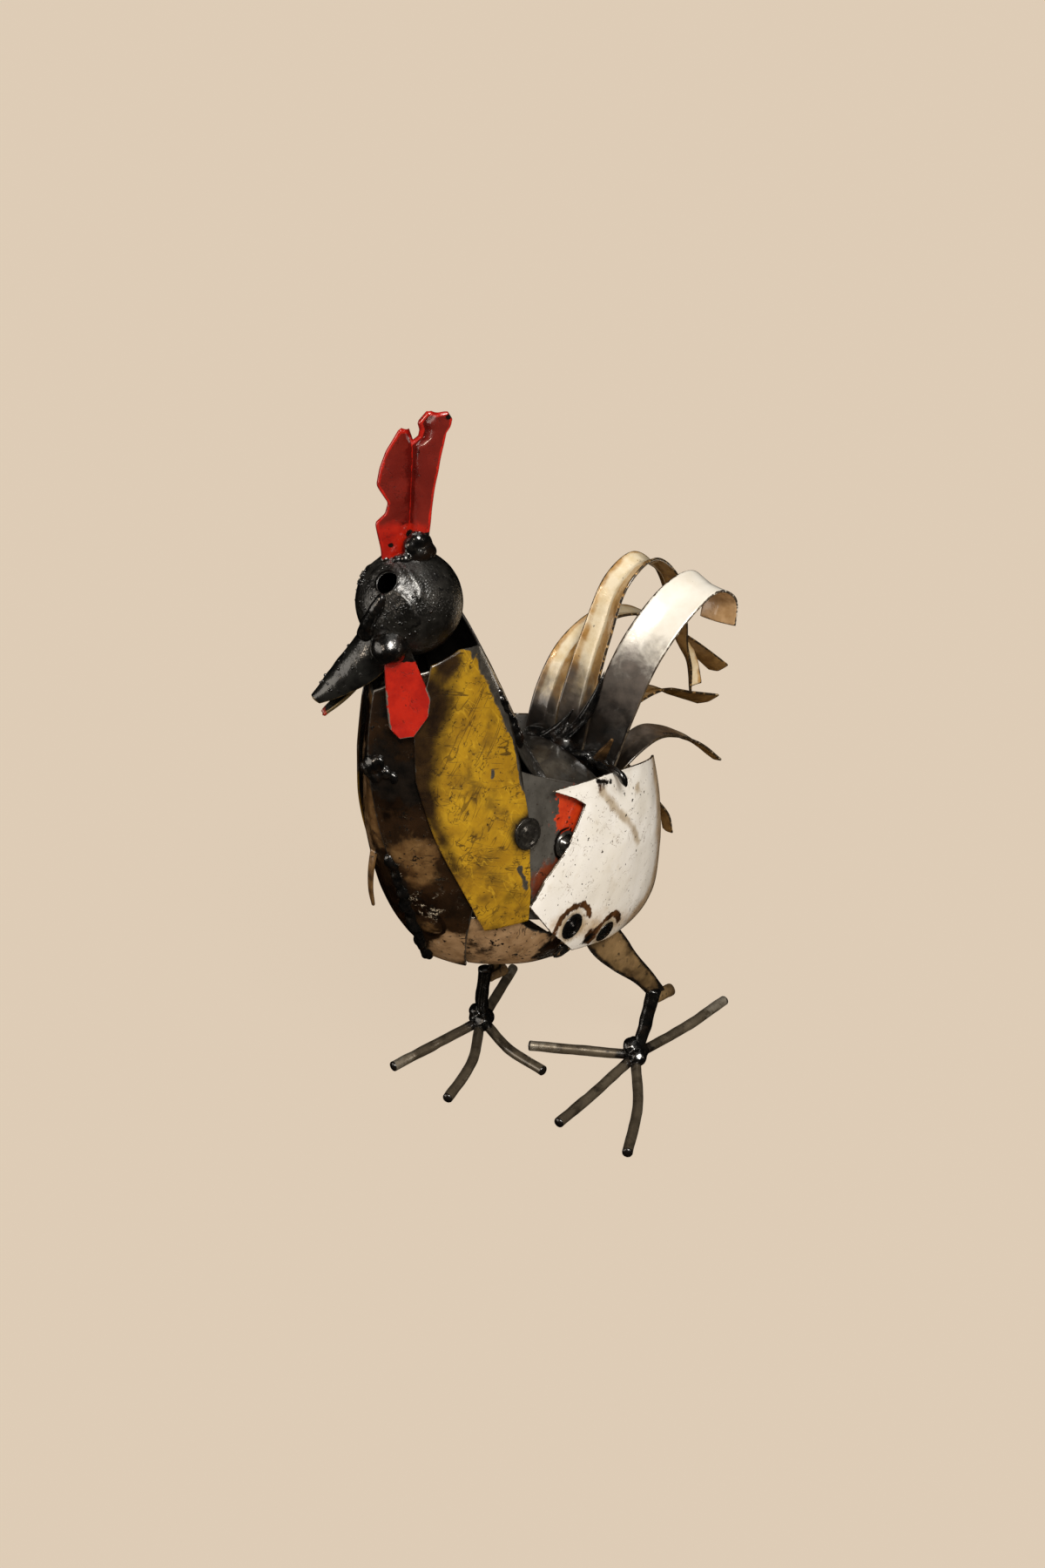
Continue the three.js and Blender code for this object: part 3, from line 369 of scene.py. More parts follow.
def painted(name, ground, coats, lacquer=0.09, relief=0.25, ripple=(2.4, 0.12)):
    """A weathered finish: coats over a ground coat, each over those before it, under clear lacquer that has
    ripples of the given length in millimetres and strength."""
    material = bpy.data.materials.new(name)
    material.use_nodes = True
    tree = material.node_tree
    shader = tree.nodes["Principled BSDF"]
    at = add_node(tree, "ShaderNodeTexCoord").outputs["Object"]
    for seed, paint in enumerate([ground] + coats):
        mottle = add_node(tree, "ShaderNodeTexNoise", {"noise_dimensions": "4D"}, {
            "Vector": at, "W": 3.7 * seed + 1.3, "Scale": 1000 / paint.mottle, "Detail": 5.0,
            "Roughness": 0.62})
        tint = add_node(tree, "ShaderNodeMapRange", None, {
            "Value": mottle.outputs["Fac"], "From Min": 0.38, "From Max": 0.62}).outputs["Result"]
        own = add_node(tree, "ShaderNodeMix", {"data_type": "RGBA"}, {
            0: tint, 6: from_hex(paint.dark), 7: from_hex(paint.light)}).outputs[2]
        if paint is ground:
            colour, metal, rough, height = own, paint.metal, paint.rough, mottle.outputs["Fac"]
            continue
        where = at
        if paint.stretch:
            where = add_node(tree, "ShaderNodeMapping", {"vector_type": "TEXTURE"}, {
                "Vector": at, "Rotation": paint.stretch, "Scale": (1.0, 1.0, 12.0)}).outputs["Vector"]
        noise = add_node(tree, "ShaderNodeTexNoise", {"noise_dimensions": "4D"}, {
            "Vector": where, "W": 11.9 * seed, "Scale": 1000 / paint.grain, "Detail": paint.detail,
            "Roughness": 0.6, "Distortion": paint.curl}).outputs["Fac"]
        if paint.lines:
            off = add_node(tree, "ShaderNodeMath", {"operation": "SUBTRACT"}, {0: noise, 1: 0.5}).outputs[0]
            width = add_node(tree, "ShaderNodeMath", {"operation": "ABSOLUTE"}, {0: off}).outputs[0]
            line = add_node(tree, "ShaderNodeMapRange", None, {
                "Value": width, "From Min": paint.lines, "From Max": 0.0}).outputs["Result"]
            broken = add_node(tree, "ShaderNodeTexNoise", {"noise_dimensions": "4D"}, {
                "Vector": at, "W": 5.1 * seed, "Scale": 1000 / paint.breaks, "Detail": 2.0}).outputs["Fac"]
            gate = add_node(tree, "ShaderNodeMapRange", None, {
                "Value": broken, "From Min": 0.46, "From Max": 0.6}).outputs["Result"]
            noise = add_node(tree, "ShaderNodeMath", {"operation": "MULTIPLY"}, {0: line, 1: gate}).outputs[0]
        for mark, pull in paint.follows.items():
            value = add_node(tree, "ShaderNodeAttribute", {"attribute_name": mark}).outputs["Fac"]
            noise = add_node(tree, "ShaderNodeMath", {"operation": "MULTIPLY_ADD"}, {
                0: value, 1: pull, 2: noise}).outputs[0]
        mask = add_node(tree, "ShaderNodeMapRange", {"interpolation_type": "SMOOTHSTEP"}, {
            "Value": noise, "From Min": paint.level - paint.blur, "From Max": paint.level + paint.blur,
            "To Max": paint.strength}).outputs["Result"]
        colour = add_node(tree, "ShaderNodeMix", {"data_type": "RGBA"}, {0: mask, 6: colour, 7: own}).outputs[2]
        metal, rough = (
            add_node(tree, "ShaderNodeMix", {"data_type": "FLOAT"}, {0: mask, 2: below, 3: above}).outputs[0]
            for below, above in ((metal, paint.metal), (rough, paint.rough)))
        height = add_node(tree, "ShaderNodeMath", {"operation": "MULTIPLY_ADD"}, {
            0: mask, 1: paint.rise, 2: height}).outputs[0]
    bump = add_node(tree, "ShaderNodeBump", None, {"Height": height, "Strength": relief, "Distance": 0.0006})
    waves = add_node(tree, "ShaderNodeTexNoise", None, {"Vector": at, "Scale": 1000 / ripple[0], "Detail": 3.0})
    drips = add_node(tree, "ShaderNodeBump", None, {
        "Height": waves.outputs["Fac"], "Strength": ripple[1], "Distance": 0.0006})
    for socket, value in (("Base Color", colour), ("Metallic", metal), ("Roughness", rough),
                          ("Normal", bump.outputs["Normal"]), ("Coat Normal", drips.outputs["Normal"])):
        tree.links.new(value, shader.inputs[socket])
    shader.inputs["Coat Weight"].default_value = 1.0
    shader.inputs["Coat Roughness"].default_value = lacquer
    return material


def plate_places(rows, columns, steps):
    """Grid of turn and share over a plate given by rows of [turn, share] from its lower to its upper edge, by
    straight runs within a row and between rows."""
    table = np.array(rows, float)
    across = np.linspace(0, 1, columns) * (table.shape[1] - 1)
    up = np.linspace(0, 1, steps) * (table.shape[0] - 1)
    j = np.clip(across.astype(int), 0, table.shape[1] - 2)
    i = np.clip(up.astype(int), 0, table.shape[0] - 2)
    s, t = (across - j)[None, :, None], (up - i)[:, None, None]
    low = table[i][:, j] * (1 - s) + table[i][:, j + 1] * s
    high = table[i + 1][:, j] * (1 - s) + table[i + 1][:, j + 1] * s
    return np.moveaxis(low * (1 - t) + high * t, -1, 0)


def edge_gap(middle):
    """Distance from each grid point to the nearest edge of its sheet, along the grid's own lines."""
    along = np.linalg.norm(np.diff(middle, axis=1), axis=-1)
    up = np.linalg.norm(np.diff(middle, axis=0), axis=-1)
    s = np.pad(np.cumsum(along, axis=1), ((0, 0), (1, 0)))
    t = np.pad(np.cumsum(up, axis=0), ((1, 0), (0, 0)))
    return np.minimum(np.minimum(s, s[:, -1:] - s), np.minimum(t, t[-1:] - t))


def marks_on(points, table, side=1, lift=0.0, is_neck=False, rings=None):
    """Values of marks at points. Each mark sums rows of a strength, a reach in millimetres and one place or a
    path of places, as turn and share on the form, and rings of a mark, a centre, a radius and a width."""
    values = {mark: np.zeros(points.shape[:-1]) for mark in table}
    for mark, rows in table.items():
        for strength, reach, *places in rows:
            path = [on_form(side * turn, share, lift, is_neck) for turn, share in places]
            fall = near_path(points, path, reach) if len(path) > 1 else near(points, path[0], reach)
            values[mark] += strength * fall
    for mark, centre, radius, width in rings or ():
        values[mark] += near_ring(points, centre, radius, width)
    return values


def add_plate(name, rows, lift, material, slot, columns, steps, is_neck=False, marks_at=None, dents=0.45,
              welds=(), rim=None):
    """A beaten plate on the form: shallow dents move both faces, and welds, each a centre, a radius and a
    height, stand proud as ringed spots on the outer face. marks_at gives marks over the grid; rim is the
    width of the bright edge."""
    turn, share = plate_places(rows, columns, steps)
    middle = on_form(turn, share, lift, is_neck)
    outward = form_normal(turn, share, is_neck)
    gap = edge_gap(middle)
    dent = dents * lumps(middle, 17, 3) + 0.35 * dents * lumps(middle, 7, 5)
    middle = middle + outward * (dent * np.clip(gap / 4, 0.25, 1))[..., None]
    proud = np.zeros(turn.shape)
    for centre, radius, height in welds:
        away = np.linalg.norm(middle - np.asarray(centre), axis=-1) / radius
        ripple = 0.75 + 0.25 * np.cos(away * 14)
        proud += height * np.exp(-(away / 0.55) ** 4) * ripple * (1 + 0.35 * lumps(middle, 1.6, 9))
    values = marks_at(middle) if marks_at else {}
    if rim:
        values["rim"] = 1 - edge_gap(middle) / rim
    put_sheet(name + "_dressed", middle, outward, SHEET, material, slot, values, (name,), proud, 1)


def mirrored(rows):
    """The same rows for the rooster's other side."""
    return (np.array(rows) * [-1, 1]).tolist()


SOOT = ("#0d0b09", "#1d1712", 0.32, 0.2, 5)

burnt_steel = painted("burnt_steel_lacquered", coat("#1d130a", "#352211", 0.34, 0.35, mottle=14), [
    coat("#6b4c2b", "#8f6d43", 0.34, 0.45, mottle=5, grain=9, level=0.84, blur=0.14, brown=0.52),
    coat("#a98660", "#c8a47c", 0.33, 0.4, mottle=7, grain=9, level=0.88, blur=0.12, tan=0.6),
    coat("#120b06", "#24160b", 0.28, 0.3, mottle=6, grain=8, level=0.82, blur=0.09, burnt=0.6),
    coat("#2c1c0f", "#170e07", 0.3, grain=7, lines=0.03, level=0.45, blur=0.25, curl=1.0, detail=2.0,
         breaks=12, strength=0.8),
    coat("#0c0a08", "#15110d", 0.3, grain=2.4, level=0.62, blur=0.03, rise=0.6),
    # Pale broken streaks over the dark steel: painted glints of the wet lacquer.
    coat("#d8cdb8", "#a5967e", 0.3, grain=3.4, lines=0.05, level=1.05, blur=0.2, curl=1.5, detail=3.0,
         breaks=5, rise=1.5, splash=0.75),
    coat(*SOOT, grain=6, level=0.82, blur=0.12, soot=0.7),
    coat(*SOOT, grain=6, level=0.9, blur=0.2, strength=0.9, inside=0.8),
    coat("#4b4843", "#6f6a62", 0.34, 0.85, 4, grain=2, level=0.98, blur=0.06, strength=0.8, rim=0.6),
], lacquer=0.06, ripple=(2.0, 0.3))

BREAST = [
    [[0, 0.05], [0.07, 0.035], [0.14, 0.04]], [[0.05, 0.2], [0.13, 0.2], [0.2, 0.2]],
    [[0.065, 0.38], [0.16, 0.37], [0.27, 0.36]], [[0.038, 0.52], [0.14, 0.53], [0.26, 0.53]],
    [[0.006, 0.76], [0.13, 0.76], [0.26, 0.76]], [[0.012, 0.95], [0.15, 0.99], [0.3, 1]]]
BREAST_RIGHT = [
    [[0.05, 0.075], [-0.05, 0.05], [-0.12, 0.05]], [[0.11, 0.24], [0, 0.24], [-0.125, 0.24]],
    [[0.12, 0.38], [-0.1, 0.37], [-0.28, 0.36]], [[0.09, 0.52], [-0.1, 0.53], [-0.28, 0.53]],
    [[0.05, 0.76], [-0.1, 0.76], [-0.28, 0.76]], [[0.05, 0.93], [-0.1, 0.94], [-0.3, 0.98]]]
BREAST_RING = on_form(0.097, 0.25, MIDDLE)
BREAST_MARKS = {
    "brown": [(1.3, 15, (0.13, 0.5)), (1, 12, (0.13, 0.42)), (0.8, 10, (0.1, 0.25)), (1, 12, (0.1, 0.12))],
    "tan": [(1.4, 13, (0.03, 0.06), (0.12, 0.12), (0.17, 0.2)), (0.6, 6, (0.14, 0.49))],
    "burnt": [(1, 22, (0.115, 0.68)), (1, 14, (0.12, 0.33))],
    # Pale streaks here are painted glints on the wet black lacquer.
    "splash": [(1, 11, (0.11, 0.32)), (0.6, 5, (0.07, 0.43)), (0.5, 8, (0.12, 0.16))],
    "soot": [(1, 18, (0.04, 0.74)), (1, 16, (0.2, 0.7)), (0.7, 16, (0.15, 0.9)),
             (0.8, 5, (0.06, 0.4), (0.05, 0.2))]}
BREAST_RIGHT_MARKS = {
    "brown": [(1, 26, (0, 0.6)), (1, 26, (0, 0.9)), (1, 24, (-0.2, 0.45))],
    "tan": [(0.8, 18, (-0.1, 0.15)), (0.75, 14, (-0.08, 0.88), (-0.08, 0.6), (-0.04, 0.45))],
    "burnt": [(1, 20, (0.02, 0.3)), (1, 20, (-0.1, 0.85))],
    "soot": [(1, 14, (0.03, 0.74)), (1, 6, (0.07, 0.45), (0.07, 0.1))]}
PLATE_RIM = 1.4
add_plate(
    "breast_plate_left", BREAST, MIDDLE, burnt_steel, "burnt_steel", 46, 130, welds=[(BREAST_RING, 9, 0.7)],
    marks_at=lambda p: marks_on(p, BREAST_MARKS, rings=[("burnt", BREAST_RING, 8, 1.6)]), rim=PLATE_RIM)
add_plate(
    "breast_plate_right", BREAST_RIGHT, INNER, burnt_steel, "burnt_steel", 64, 120,
    marks_at=lambda p: marks_on(p, BREAST_RIGHT_MARKS), rim=PLATE_RIM)


# Belly: one trough of tan sheet from the breast to the legs, lapped inside the breast, neck and rump plates
# and welded to them, up to the flanks on both sides. Its weld to the left rump plate is a ringed spot.
FLOOR = 0.34


def belly_point(round_it, back):
    """Point of the trough. back runs from the breast to the legs; round_it runs from the left top edge under
    the keel to the right one, straight across the middle third and on the form beyond it."""
    turn = 0.15 + 0.49 * back
    top = eased([[0, 0.23], [0.12, 0.28], [0.45, 0.285], [0.58, 0.235], [0.75, 0.2], [1, 0.13]], back)
    side = np.where(round_it < 0.5, 1, -1)
    down = np.abs(2 * round_it - 1)
    wall = on_form(side * turn, top * np.clip((down - FLOOR) / (1 - FLOOR), 0, 1), INNER)
    across = np.stack([side * np.clip(down / FLOOR, 0, 1), *np.ones((2, *turn.shape))], -1)
    floor = on_form(turn, np.zeros_like(turn), INNER) * across
    return np.where((down > FLOOR)[..., None], wall, floor)


def surface_normal(point_at, u, v, step=0.015):
    """Direction across a surface, from small steps each way."""
    round_it = point_at(np.clip(u + step, 0, 1), v) - point_at(np.clip(u - step, 0, 1), v)
    along = point_at(u, np.clip(v + step, 0, 1)) - point_at(u, np.clip(v - step, 0, 1))
    return unit(np.cross(round_it, along))


u, v = np.meshgrid(np.linspace(0, 1, 130), np.linspace(0, 1, 60))
belly_middle = belly_point(u, v)
belly_out = surface_normal(belly_point, u, v)
belly_gap = edge_gap(belly_middle)
belly_middle = belly_middle + belly_out * (0.4 * lumps(belly_middle, 15, 7))[..., None]
BELLY_RING = on_form(0.537, 0.082, INNER)
BELLY_MARKS = {
    "brown": [(0.8, 14, (0.42, 0.16)), (0.7, 10, (0.3, 0))], "burnt": [(1, 16, (0.5, 0.13))],
    # Pale streaks here are painted glints on the wet black lacquer.
    "splash": [(0.5, 8, (0.42, 0.2))]}
BELLY_SOOT = {"soot": [(0.8, 5, (0.537, 0.082)), (1, 7, (0.47, 0.25), (0.54, 0.2))]}
belly_proud = 0.9 * np.exp(-(np.linalg.norm(belly_middle - BELLY_RING, axis=-1) / 4.5) ** 4)
put_sheet("belly_plate_dressed", belly_middle, belly_out, SHEET, burnt_steel, "burnt_steel", {
    **marks_on(belly_middle, BELLY_MARKS, rings=[("burnt", BELLY_RING, 7, 1.5)]),
    **marks_on(belly_middle, BELLY_SOOT, lift=INNER),
    "tan": np.full(u.shape, 0.78), "rim": 1 - belly_gap / PLATE_RIM}, ("belly_plate",), belly_proud, 1)

# Neck plates: sheet in mustard enamel, one on each side, welded over the breast and flank plates. Scratched
# all over, burnt brown along the breast, and worn to grey steel at the bent edges. High at the front, under the
# wattle, that brown is partly a painted shadow of the wattle.
mustard_enamel = painted("mustard_enamel_worn", coat("#966e02", "#b08706", 0.4, mottle=12), [
    coat("#6b4c06", "#513a08", 0.42, mottle=2.4, grain=11, level=0.56, blur=0.12, strength=0.75),
    coat("#c99f1c", "#b58c0c", 0.4, grain=4, lines=0.03, level=0.4, blur=0.3, curl=0.1, detail=1.0,
         breaks=12, stretch=(0.5, 0.0, 0.0), strength=0.5),
    coat("#46310a", "#5c420c", 0.4, grain=4, lines=0.022, level=0.4, blur=0.3, curl=0.1, detail=1.0,
         breaks=12, stretch=(-0.7, 0.0, 0.2), strength=0.7, rise=-0.5),
    coat("#3a2808", "#4c360a", 0.4, grain=3.4, lines=0.022, level=0.4, blur=0.3, curl=0.2, detail=1.0,
         breaks=9, stretch=(1.25, 0.0, -0.2), strength=0.75, rise=-0.5),
    coat("#241809", "#3a280c", 0.38, grain=6, lines=0.02, level=0.4, blur=0.3, curl=0.8, detail=3.0,
         breaks=9, strength=0.7, rise=-0.4),
    coat("#1c1409", "#33240f", 0.4, grain=2.2, level=0.66, blur=0.03, strength=0.85, rise=-0.5),
    coat("#33220c", "#1b1007", 0.34, grain=8, level=1.1, blur=0.5, burnt=1.15),
    coat("#4a4742", "#6a655d", 0.34, 0.6, grain=5, level=0.93, blur=0.08, bare=0.65),
    coat("#14110c", "#221b12", 0.32, grain=8, level=1.0, blur=0.3, soot=1.1),
    coat(*SOOT, grain=6, level=0.9, blur=0.2, inside=0.8),
], lacquer=0.08, ripple=(2.4, 0.2))
NECK_SIDE = [
    [[0.27, 0.24], [0.34, 0.245], [0.411, 0.245]], [[0.234, 0.42], [0.34, 0.42], [0.457, 0.417]],
    [[0.206, 0.55], [0.35, 0.58], [0.537, 0.617]], [[0.181, 0.716], [0.4, 0.76], [0.669, 0.833]],
    [[0.2, 0.87], [0.42, 0.89], [0.678, 0.926]], [[0.3, 1.015], [0.47, 1.035], [0.683, 1.015]]]


NECK_MARKS = {
    # The burnt rows high at the front, under the wattle, are partly a painted shadow of the wattle.
    "burnt": [(1.2, 20, (0.25, 0.93)), (0.9, 9, (0.4, 1.02)), (1, 16, (0.19, 0.85), (0.18, 0.7)),
              (0.7, 6, (0.2, 0.64), (0.24, 0.46)), (0.5, 6, (0.31, 0.25)), (0.5, 9, (0.37, 0.34)),
              (0.5, 15, (0.475, 0.5))],
    "bare": [(1.2, 9, (0.64, 1.03), (0.635, 0.92), (0.64, 0.8)),
             (1, 3.5, (0.66, 0.83), (0.6, 0.73), (0.537, 0.62)), (1, 2.6, (0.438, 0.7)),
             (0.9, 2, (0.43, 0.685)), (0.9, 3, (0.42, 0.42), (0.425, 0.35))],
    "soot": [(1.2, 12.5, (0.485, 0.506)), (0.7, 2.2, (0.672, 0.84), (0.6, 0.725), (0.54, 0.62))]}


def neck_marks(points, side):
    """Marks of a neck plate, whose bare steel also shows along its edges."""
    values = marks_on(points, NECK_MARKS, side, OUTER, True)
    values["bare"] += 0.5 * np.clip(1 - edge_gap(points) / 0.8, 0, 1)
    return values


for side, name, rows, columns, steps in (
        (1, "neck_plate_left", NECK_SIDE, 74, 150), (-1, "neck_plate_right", mirrored(NECK_SIDE), 60, 120)):
    add_plate(name, rows, OUTER, mustard_enamel, "yellow_enamel", columns, steps, True,
              lambda p: neck_marks(p, side), 0.3)

# Flank plates: sheet in grey primer with the last of an orange-red coat, rusty below, welded on with ringed
# spots between the neck and the rump plates.
grey_primer = painted("grey_primer_worn", coat("#67645e", "#4d4a45", 0.3, 0.3, mottle=12), [
    coat("#b8300f", "#cf3f14", 0.38, mottle=3, grain=3.2, level=0.8, blur=0.03, rise=1.2, orange=0.46),
    coat("#57281a", "#7a3a1f", 0.42, grain=6, level=0.78, blur=0.12, rust=0.55),
    coat("#15100c", "#2a1d14", 0.36, grain=2.4, level=0.64, blur=0.03, strength=0.8),
    coat(*SOOT, grain=5, level=0.86, blur=0.14, soot=0.7),
    coat(*SOOT, grain=6, level=0.9, blur=0.2, strength=0.85, inside=0.8),
], lacquer=0.06, ripple=(4.0, 0.4))
FLANK = [
    [[0.43, 0.27], [0.52, 0.25], [0.62, 0.24]], [[0.44, 0.4], [0.55, 0.38], [0.66, 0.37]],
    [[0.45, 0.54], [0.56, 0.515], [0.68, 0.49]], [[0.46, 0.7], [0.5, 0.695], [0.535, 0.64]]]
FLANK_RING = on_form(0.57, 0.427, INNER)
FLANK_MARKS = {
    "orange": [(1.3, 12, (0.6, 0.505)), (1.2, 9, (0.585, 0.465)), (1.2, 9, (0.62, 0.5))],
    "rust": [(1.2, 12, (0.51, 0.36)), (0.8, 9, (0.56, 0.4))],
    "soot": [(0.7, 7, (0.47, 0.5)), (0.8, 3, (0.45, 0.6), (0.44, 0.3))]}
for side, name, rows in ((1, "flank_plate_left", FLANK), (-1, "flank_plate_right", mirrored(FLANK))):
    add_plate(name, rows, INNER, grey_primer, "orange_enamel", 44, 74, marks_at=lambda p: marks_on(
        p, FLANK_MARKS, side, INNER, rings=[("soot", FLANK_RING, 6.5, 1.2)]))

# Rump plates: sheet in glossy white enamel, welded over the flanks and the belly. It has black specks, is tan
# towards the tail and along its lower front, partly dirt and partly painted shade and a painted reflection of
# the tan ground, and is charred at the leg welds.
white_enamel = painted("white_enamel_chipped", coat("#f4f2ee", "#e9e5dc", 0.34, mottle=26), [
    # Tan coat along the rear and lower edges: partly dirt, partly painted shade and a painted reflection of the
    # tan ground.
    coat("#a8875c", "#c9ad84", 0.36, grain=16, level=0.85, blur=0.2, strength=0.85, tan=0.55),
    coat("#cfc2ac", "#b9a98f", 0.36, grain=11, level=0.66, blur=0.1, strength=0.5),
    coat("#9b8460", "#b7a27e", 0.36, grain=8, level=0.9, blur=0.22, strength=0.75, stain=0.6),
    coat("#15110d", "#3a2d20", 0.4, grain=1.9, level=0.69, blur=0.02, detail=2.0, rise=-1.0),
    coat("#15110d", "#3a2d20", 0.4, grain=3.4, level=0.7, blur=0.02, detail=2.0, rise=-1.0),
    coat("#5c4a35", "#8a7355", 0.4, grain=6, lines=0.02, level=0.5, blur=0.3, curl=1.0, detail=2.0,
         breaks=7, strength=0.6),
    coat("#2c1a0c", "#5c3a1c", 0.34, grain=4, level=0.83, blur=0.09, burnt=0.55),
    coat(*SOOT, grain=3, level=0.84, blur=0.06, soot=0.6),
    coat(*SOOT, grain=6, level=0.9, blur=0.2, strength=0.85, inside=0.75),
    coat("#3b3129", "#6a5d4c", 0.35, 0.6, grain=2, level=0.98, blur=0.06, rim=0.6),
], ripple=(5.0, 0.25))
RUMP = [
    [[0.545, 0.115], [0.68, 0.075], [0.81, 0.075]], [[0.504, 0.214], [0.7, 0.16], [0.88, 0.12]],
    [[0.43, 0.319], [0.68, 0.28], [0.915, 0.23]], [[0.558, 0.421], [0.74, 0.39], [0.92, 0.34]],
    [[0.625, 0.495], [0.77, 0.475], [0.925, 0.41]], [[0.565, 0.571], [0.71, 0.52], [0.93, 0.45]]]


def scorched(points, centre, radius):
    """Burnt arc over a weld: a ring of the radius, whose lower half fades away, and a faint smoke round
    it."""
    above = np.clip((points[..., 2] - centre[2] + 5) / 8, 0, 1)
    return above * (near_ring(points, centre, radius, 2.4) + 0.55 * near(points, centre, 1.7 * radius))


# The tan rows along the rear and lower edges are partly dirt, partly painted shade and a painted reflection of
# the ground.
RUMP_MARKS = {
    "tan": [(1.5, 16, (0.93, 0.45), (0.9, 0.23), (0.8, 0.08)),
            (0.8, 12, (0.52, 0.25), (0.62, 0.17), (0.75, 0.12))],
    "stain": [(1, 4, (0.67, 0.5), (0.7, 0.44), (0.735, 0.38), (0.75, 0.34)), (1, 5, (0.78, 0.45)),
              (2.4, 11, (0.545, 0.222)), (2.4, 10, (0.632, 0.14))],
    "burnt": [(1, 7, (0.585, 0.15)), (0.7, 7, (0.67, 0.51))],
    "soot": [(1, 6, (0.545, 0.205)), (1, 5, (0.632, 0.125)), (1, 6, (0.585, 0.14)),
             (0.7, 3, (0.66, 0.53), (0.7, 0.505))]}


def rump_marks(points, side):
    """Marks of a rump plate, with a scorched arc over each of its two ringed welds."""
    values = marks_on(points, RUMP_MARKS, side, OUTER)
    for turn, share, radius in ((0.545, 0.215, 11.5), (0.636, 0.13, 10)):
        values["burnt"] += scorched(points, on_form(side * turn, share, OUTER), radius)
    return values


for side, name, rows in ((1, "rump_plate_left", RUMP), (-1, "rump_plate_right", mirrored(RUMP))):
    add_plate(name, rows, OUTER, white_enamel, "white_enamel", 86, 90, marks_at=lambda p: rump_marks(p, side),
              rim=1.0)

# Rear plate, back saddle and nape plate: bare sheet steel, dark and speckled from the torch, welded between
# the plates of both sides.
bare_steel = painted("bare_steel_lacquered", coat("#3d3a36", "#5d5952", 0.38, 0.7, mottle=10), [
    coat("#221e1a", "#34302a", 0.36, 0.5, grain=12, level=0.52, blur=0.1),
    coat("#8a7f70", "#6e675d", 0.4, 0.6, grain=2.0, level=0.68, blur=0.02, strength=0.6),
    coat("#0f0d0b", "#1c1814", 0.35, grain=2.4, level=0.62, blur=0.03, rise=0.8),
    coat(*SOOT, grain=6, level=0.9, blur=0.14, soot=0.75),
    coat(*SOOT, grain=6, level=0.9, blur=0.2, strength=0.8, inside=0.75),
])
REAR = [[[0.84, 0.12], [1, 0.12], [1.16, 0.12]], [[0.86, 0.25], [1, 0.25], [1.14, 0.25]]]
add_plate("rear_plate", REAR, INNER, bare_steel, "bare_steel", 40, 22)

NAPE_SHARE = [0.545, 0.6, 0.68, 0.75, 0.83, 0.885]
NAPE_TURN = [0.727, 0.69, 0.652, 0.643, 0.645, 0.635]
NAPE_RISE = 0.16
nape_rows = []
for share, turn in zip(NAPE_SHARE, NAPE_TURN):
    reach, rise = 1 - turn, NAPE_RISE * (share - NAPE_SHARE[0]) / (NAPE_SHARE[-1] - NAPE_SHARE[0])
    nape_rows.append([[1 + k * reach, share + (1 - abs(k)) * rise] for k in (-1, -0.5, 0, 0.5, 1)])
nape_rows.append([[0.8, 0.99], [0.9, 1.05], [1, 1.1], [1.1, 1.05], [1.2, 0.99]])
add_plate("neck_back_plate", nape_rows, MIDDLE, bare_steel, "bare_steel", 70, 90, True)

BACK_SHARE, BACK_INSET = 0.475, 4.5


def saddle_point(across, back):
    """Point of the back saddle: straight from side to side between the form's flanks, crowned in the
    middle."""
    eaves = form_point(0.53 + 0.17 * back, BACK_SHARE)
    reach = 2 * across - 1
    crown = (12 - 5 * back) * (1 - reach * reach)
    height = UNDERSIDE + BODY_HEIGHT * BACK_SHARE + crown
    return np.stack([reach * (eaves[..., 0] - BACK_INSET), eaves[..., 1], height], -1)


u, v = np.meshgrid(np.linspace(0, 1, 70), np.linspace(0, 1, 44))
saddle = saddle_point(u, v) + np.stack([0 * u, 0 * u, 0.4 * lumps(saddle_point(u, v), 8, 2)], -1)
SADDLE_SEAM = [[-30, 0, 170], [30, 0, 170]]
put_sheet("back_plate_dressed", saddle, np.broadcast_to([0.0, 0, 1], saddle.shape), SHEET, bare_steel,
          "bare_steel", {"soot": near_path(saddle, SADDLE_SEAM, 9)}, ("back_plate",))

# Head: a hollow steel ball with a torch-cut eye hole on each side, blackened all over and lacquered. Slag and
# weld metal lie in ridges round the left eye and down to the beak.
HEAD_RADIUS, HEAD_WALL, EYE_RADIUS = 21.5, 1.5, 4.9
HEAD_CENTRE = np.array([0, -0.51 * BODY_LENGTH, UNDERSIDE + BODY_HEIGHT + HEAD_RADIUS + 2.5])
HEAD_YAW = math.radians(-30)


def from_head(points):
    """Points of the head's own frame, turned by its yaw and set on the neck."""
    c, s = math.cos(HEAD_YAW), math.sin(HEAD_YAW)
    return np.asarray(points, float) @ np.array([[c, s, 0], [-s, c, 0], [0, 0, 1]]) + HEAD_CENTRE


def in_head(left, forward, up):
    """Point of the head's frame from its distances to the left, forwards and up."""
    sides = (np.asarray(left, float), -np.asarray(forward, float), np.asarray(up, float))
    return np.stack(np.broadcast_arrays(*sides), -1)


EYE = unit(in_head(10.2, 10.9, 15.5))


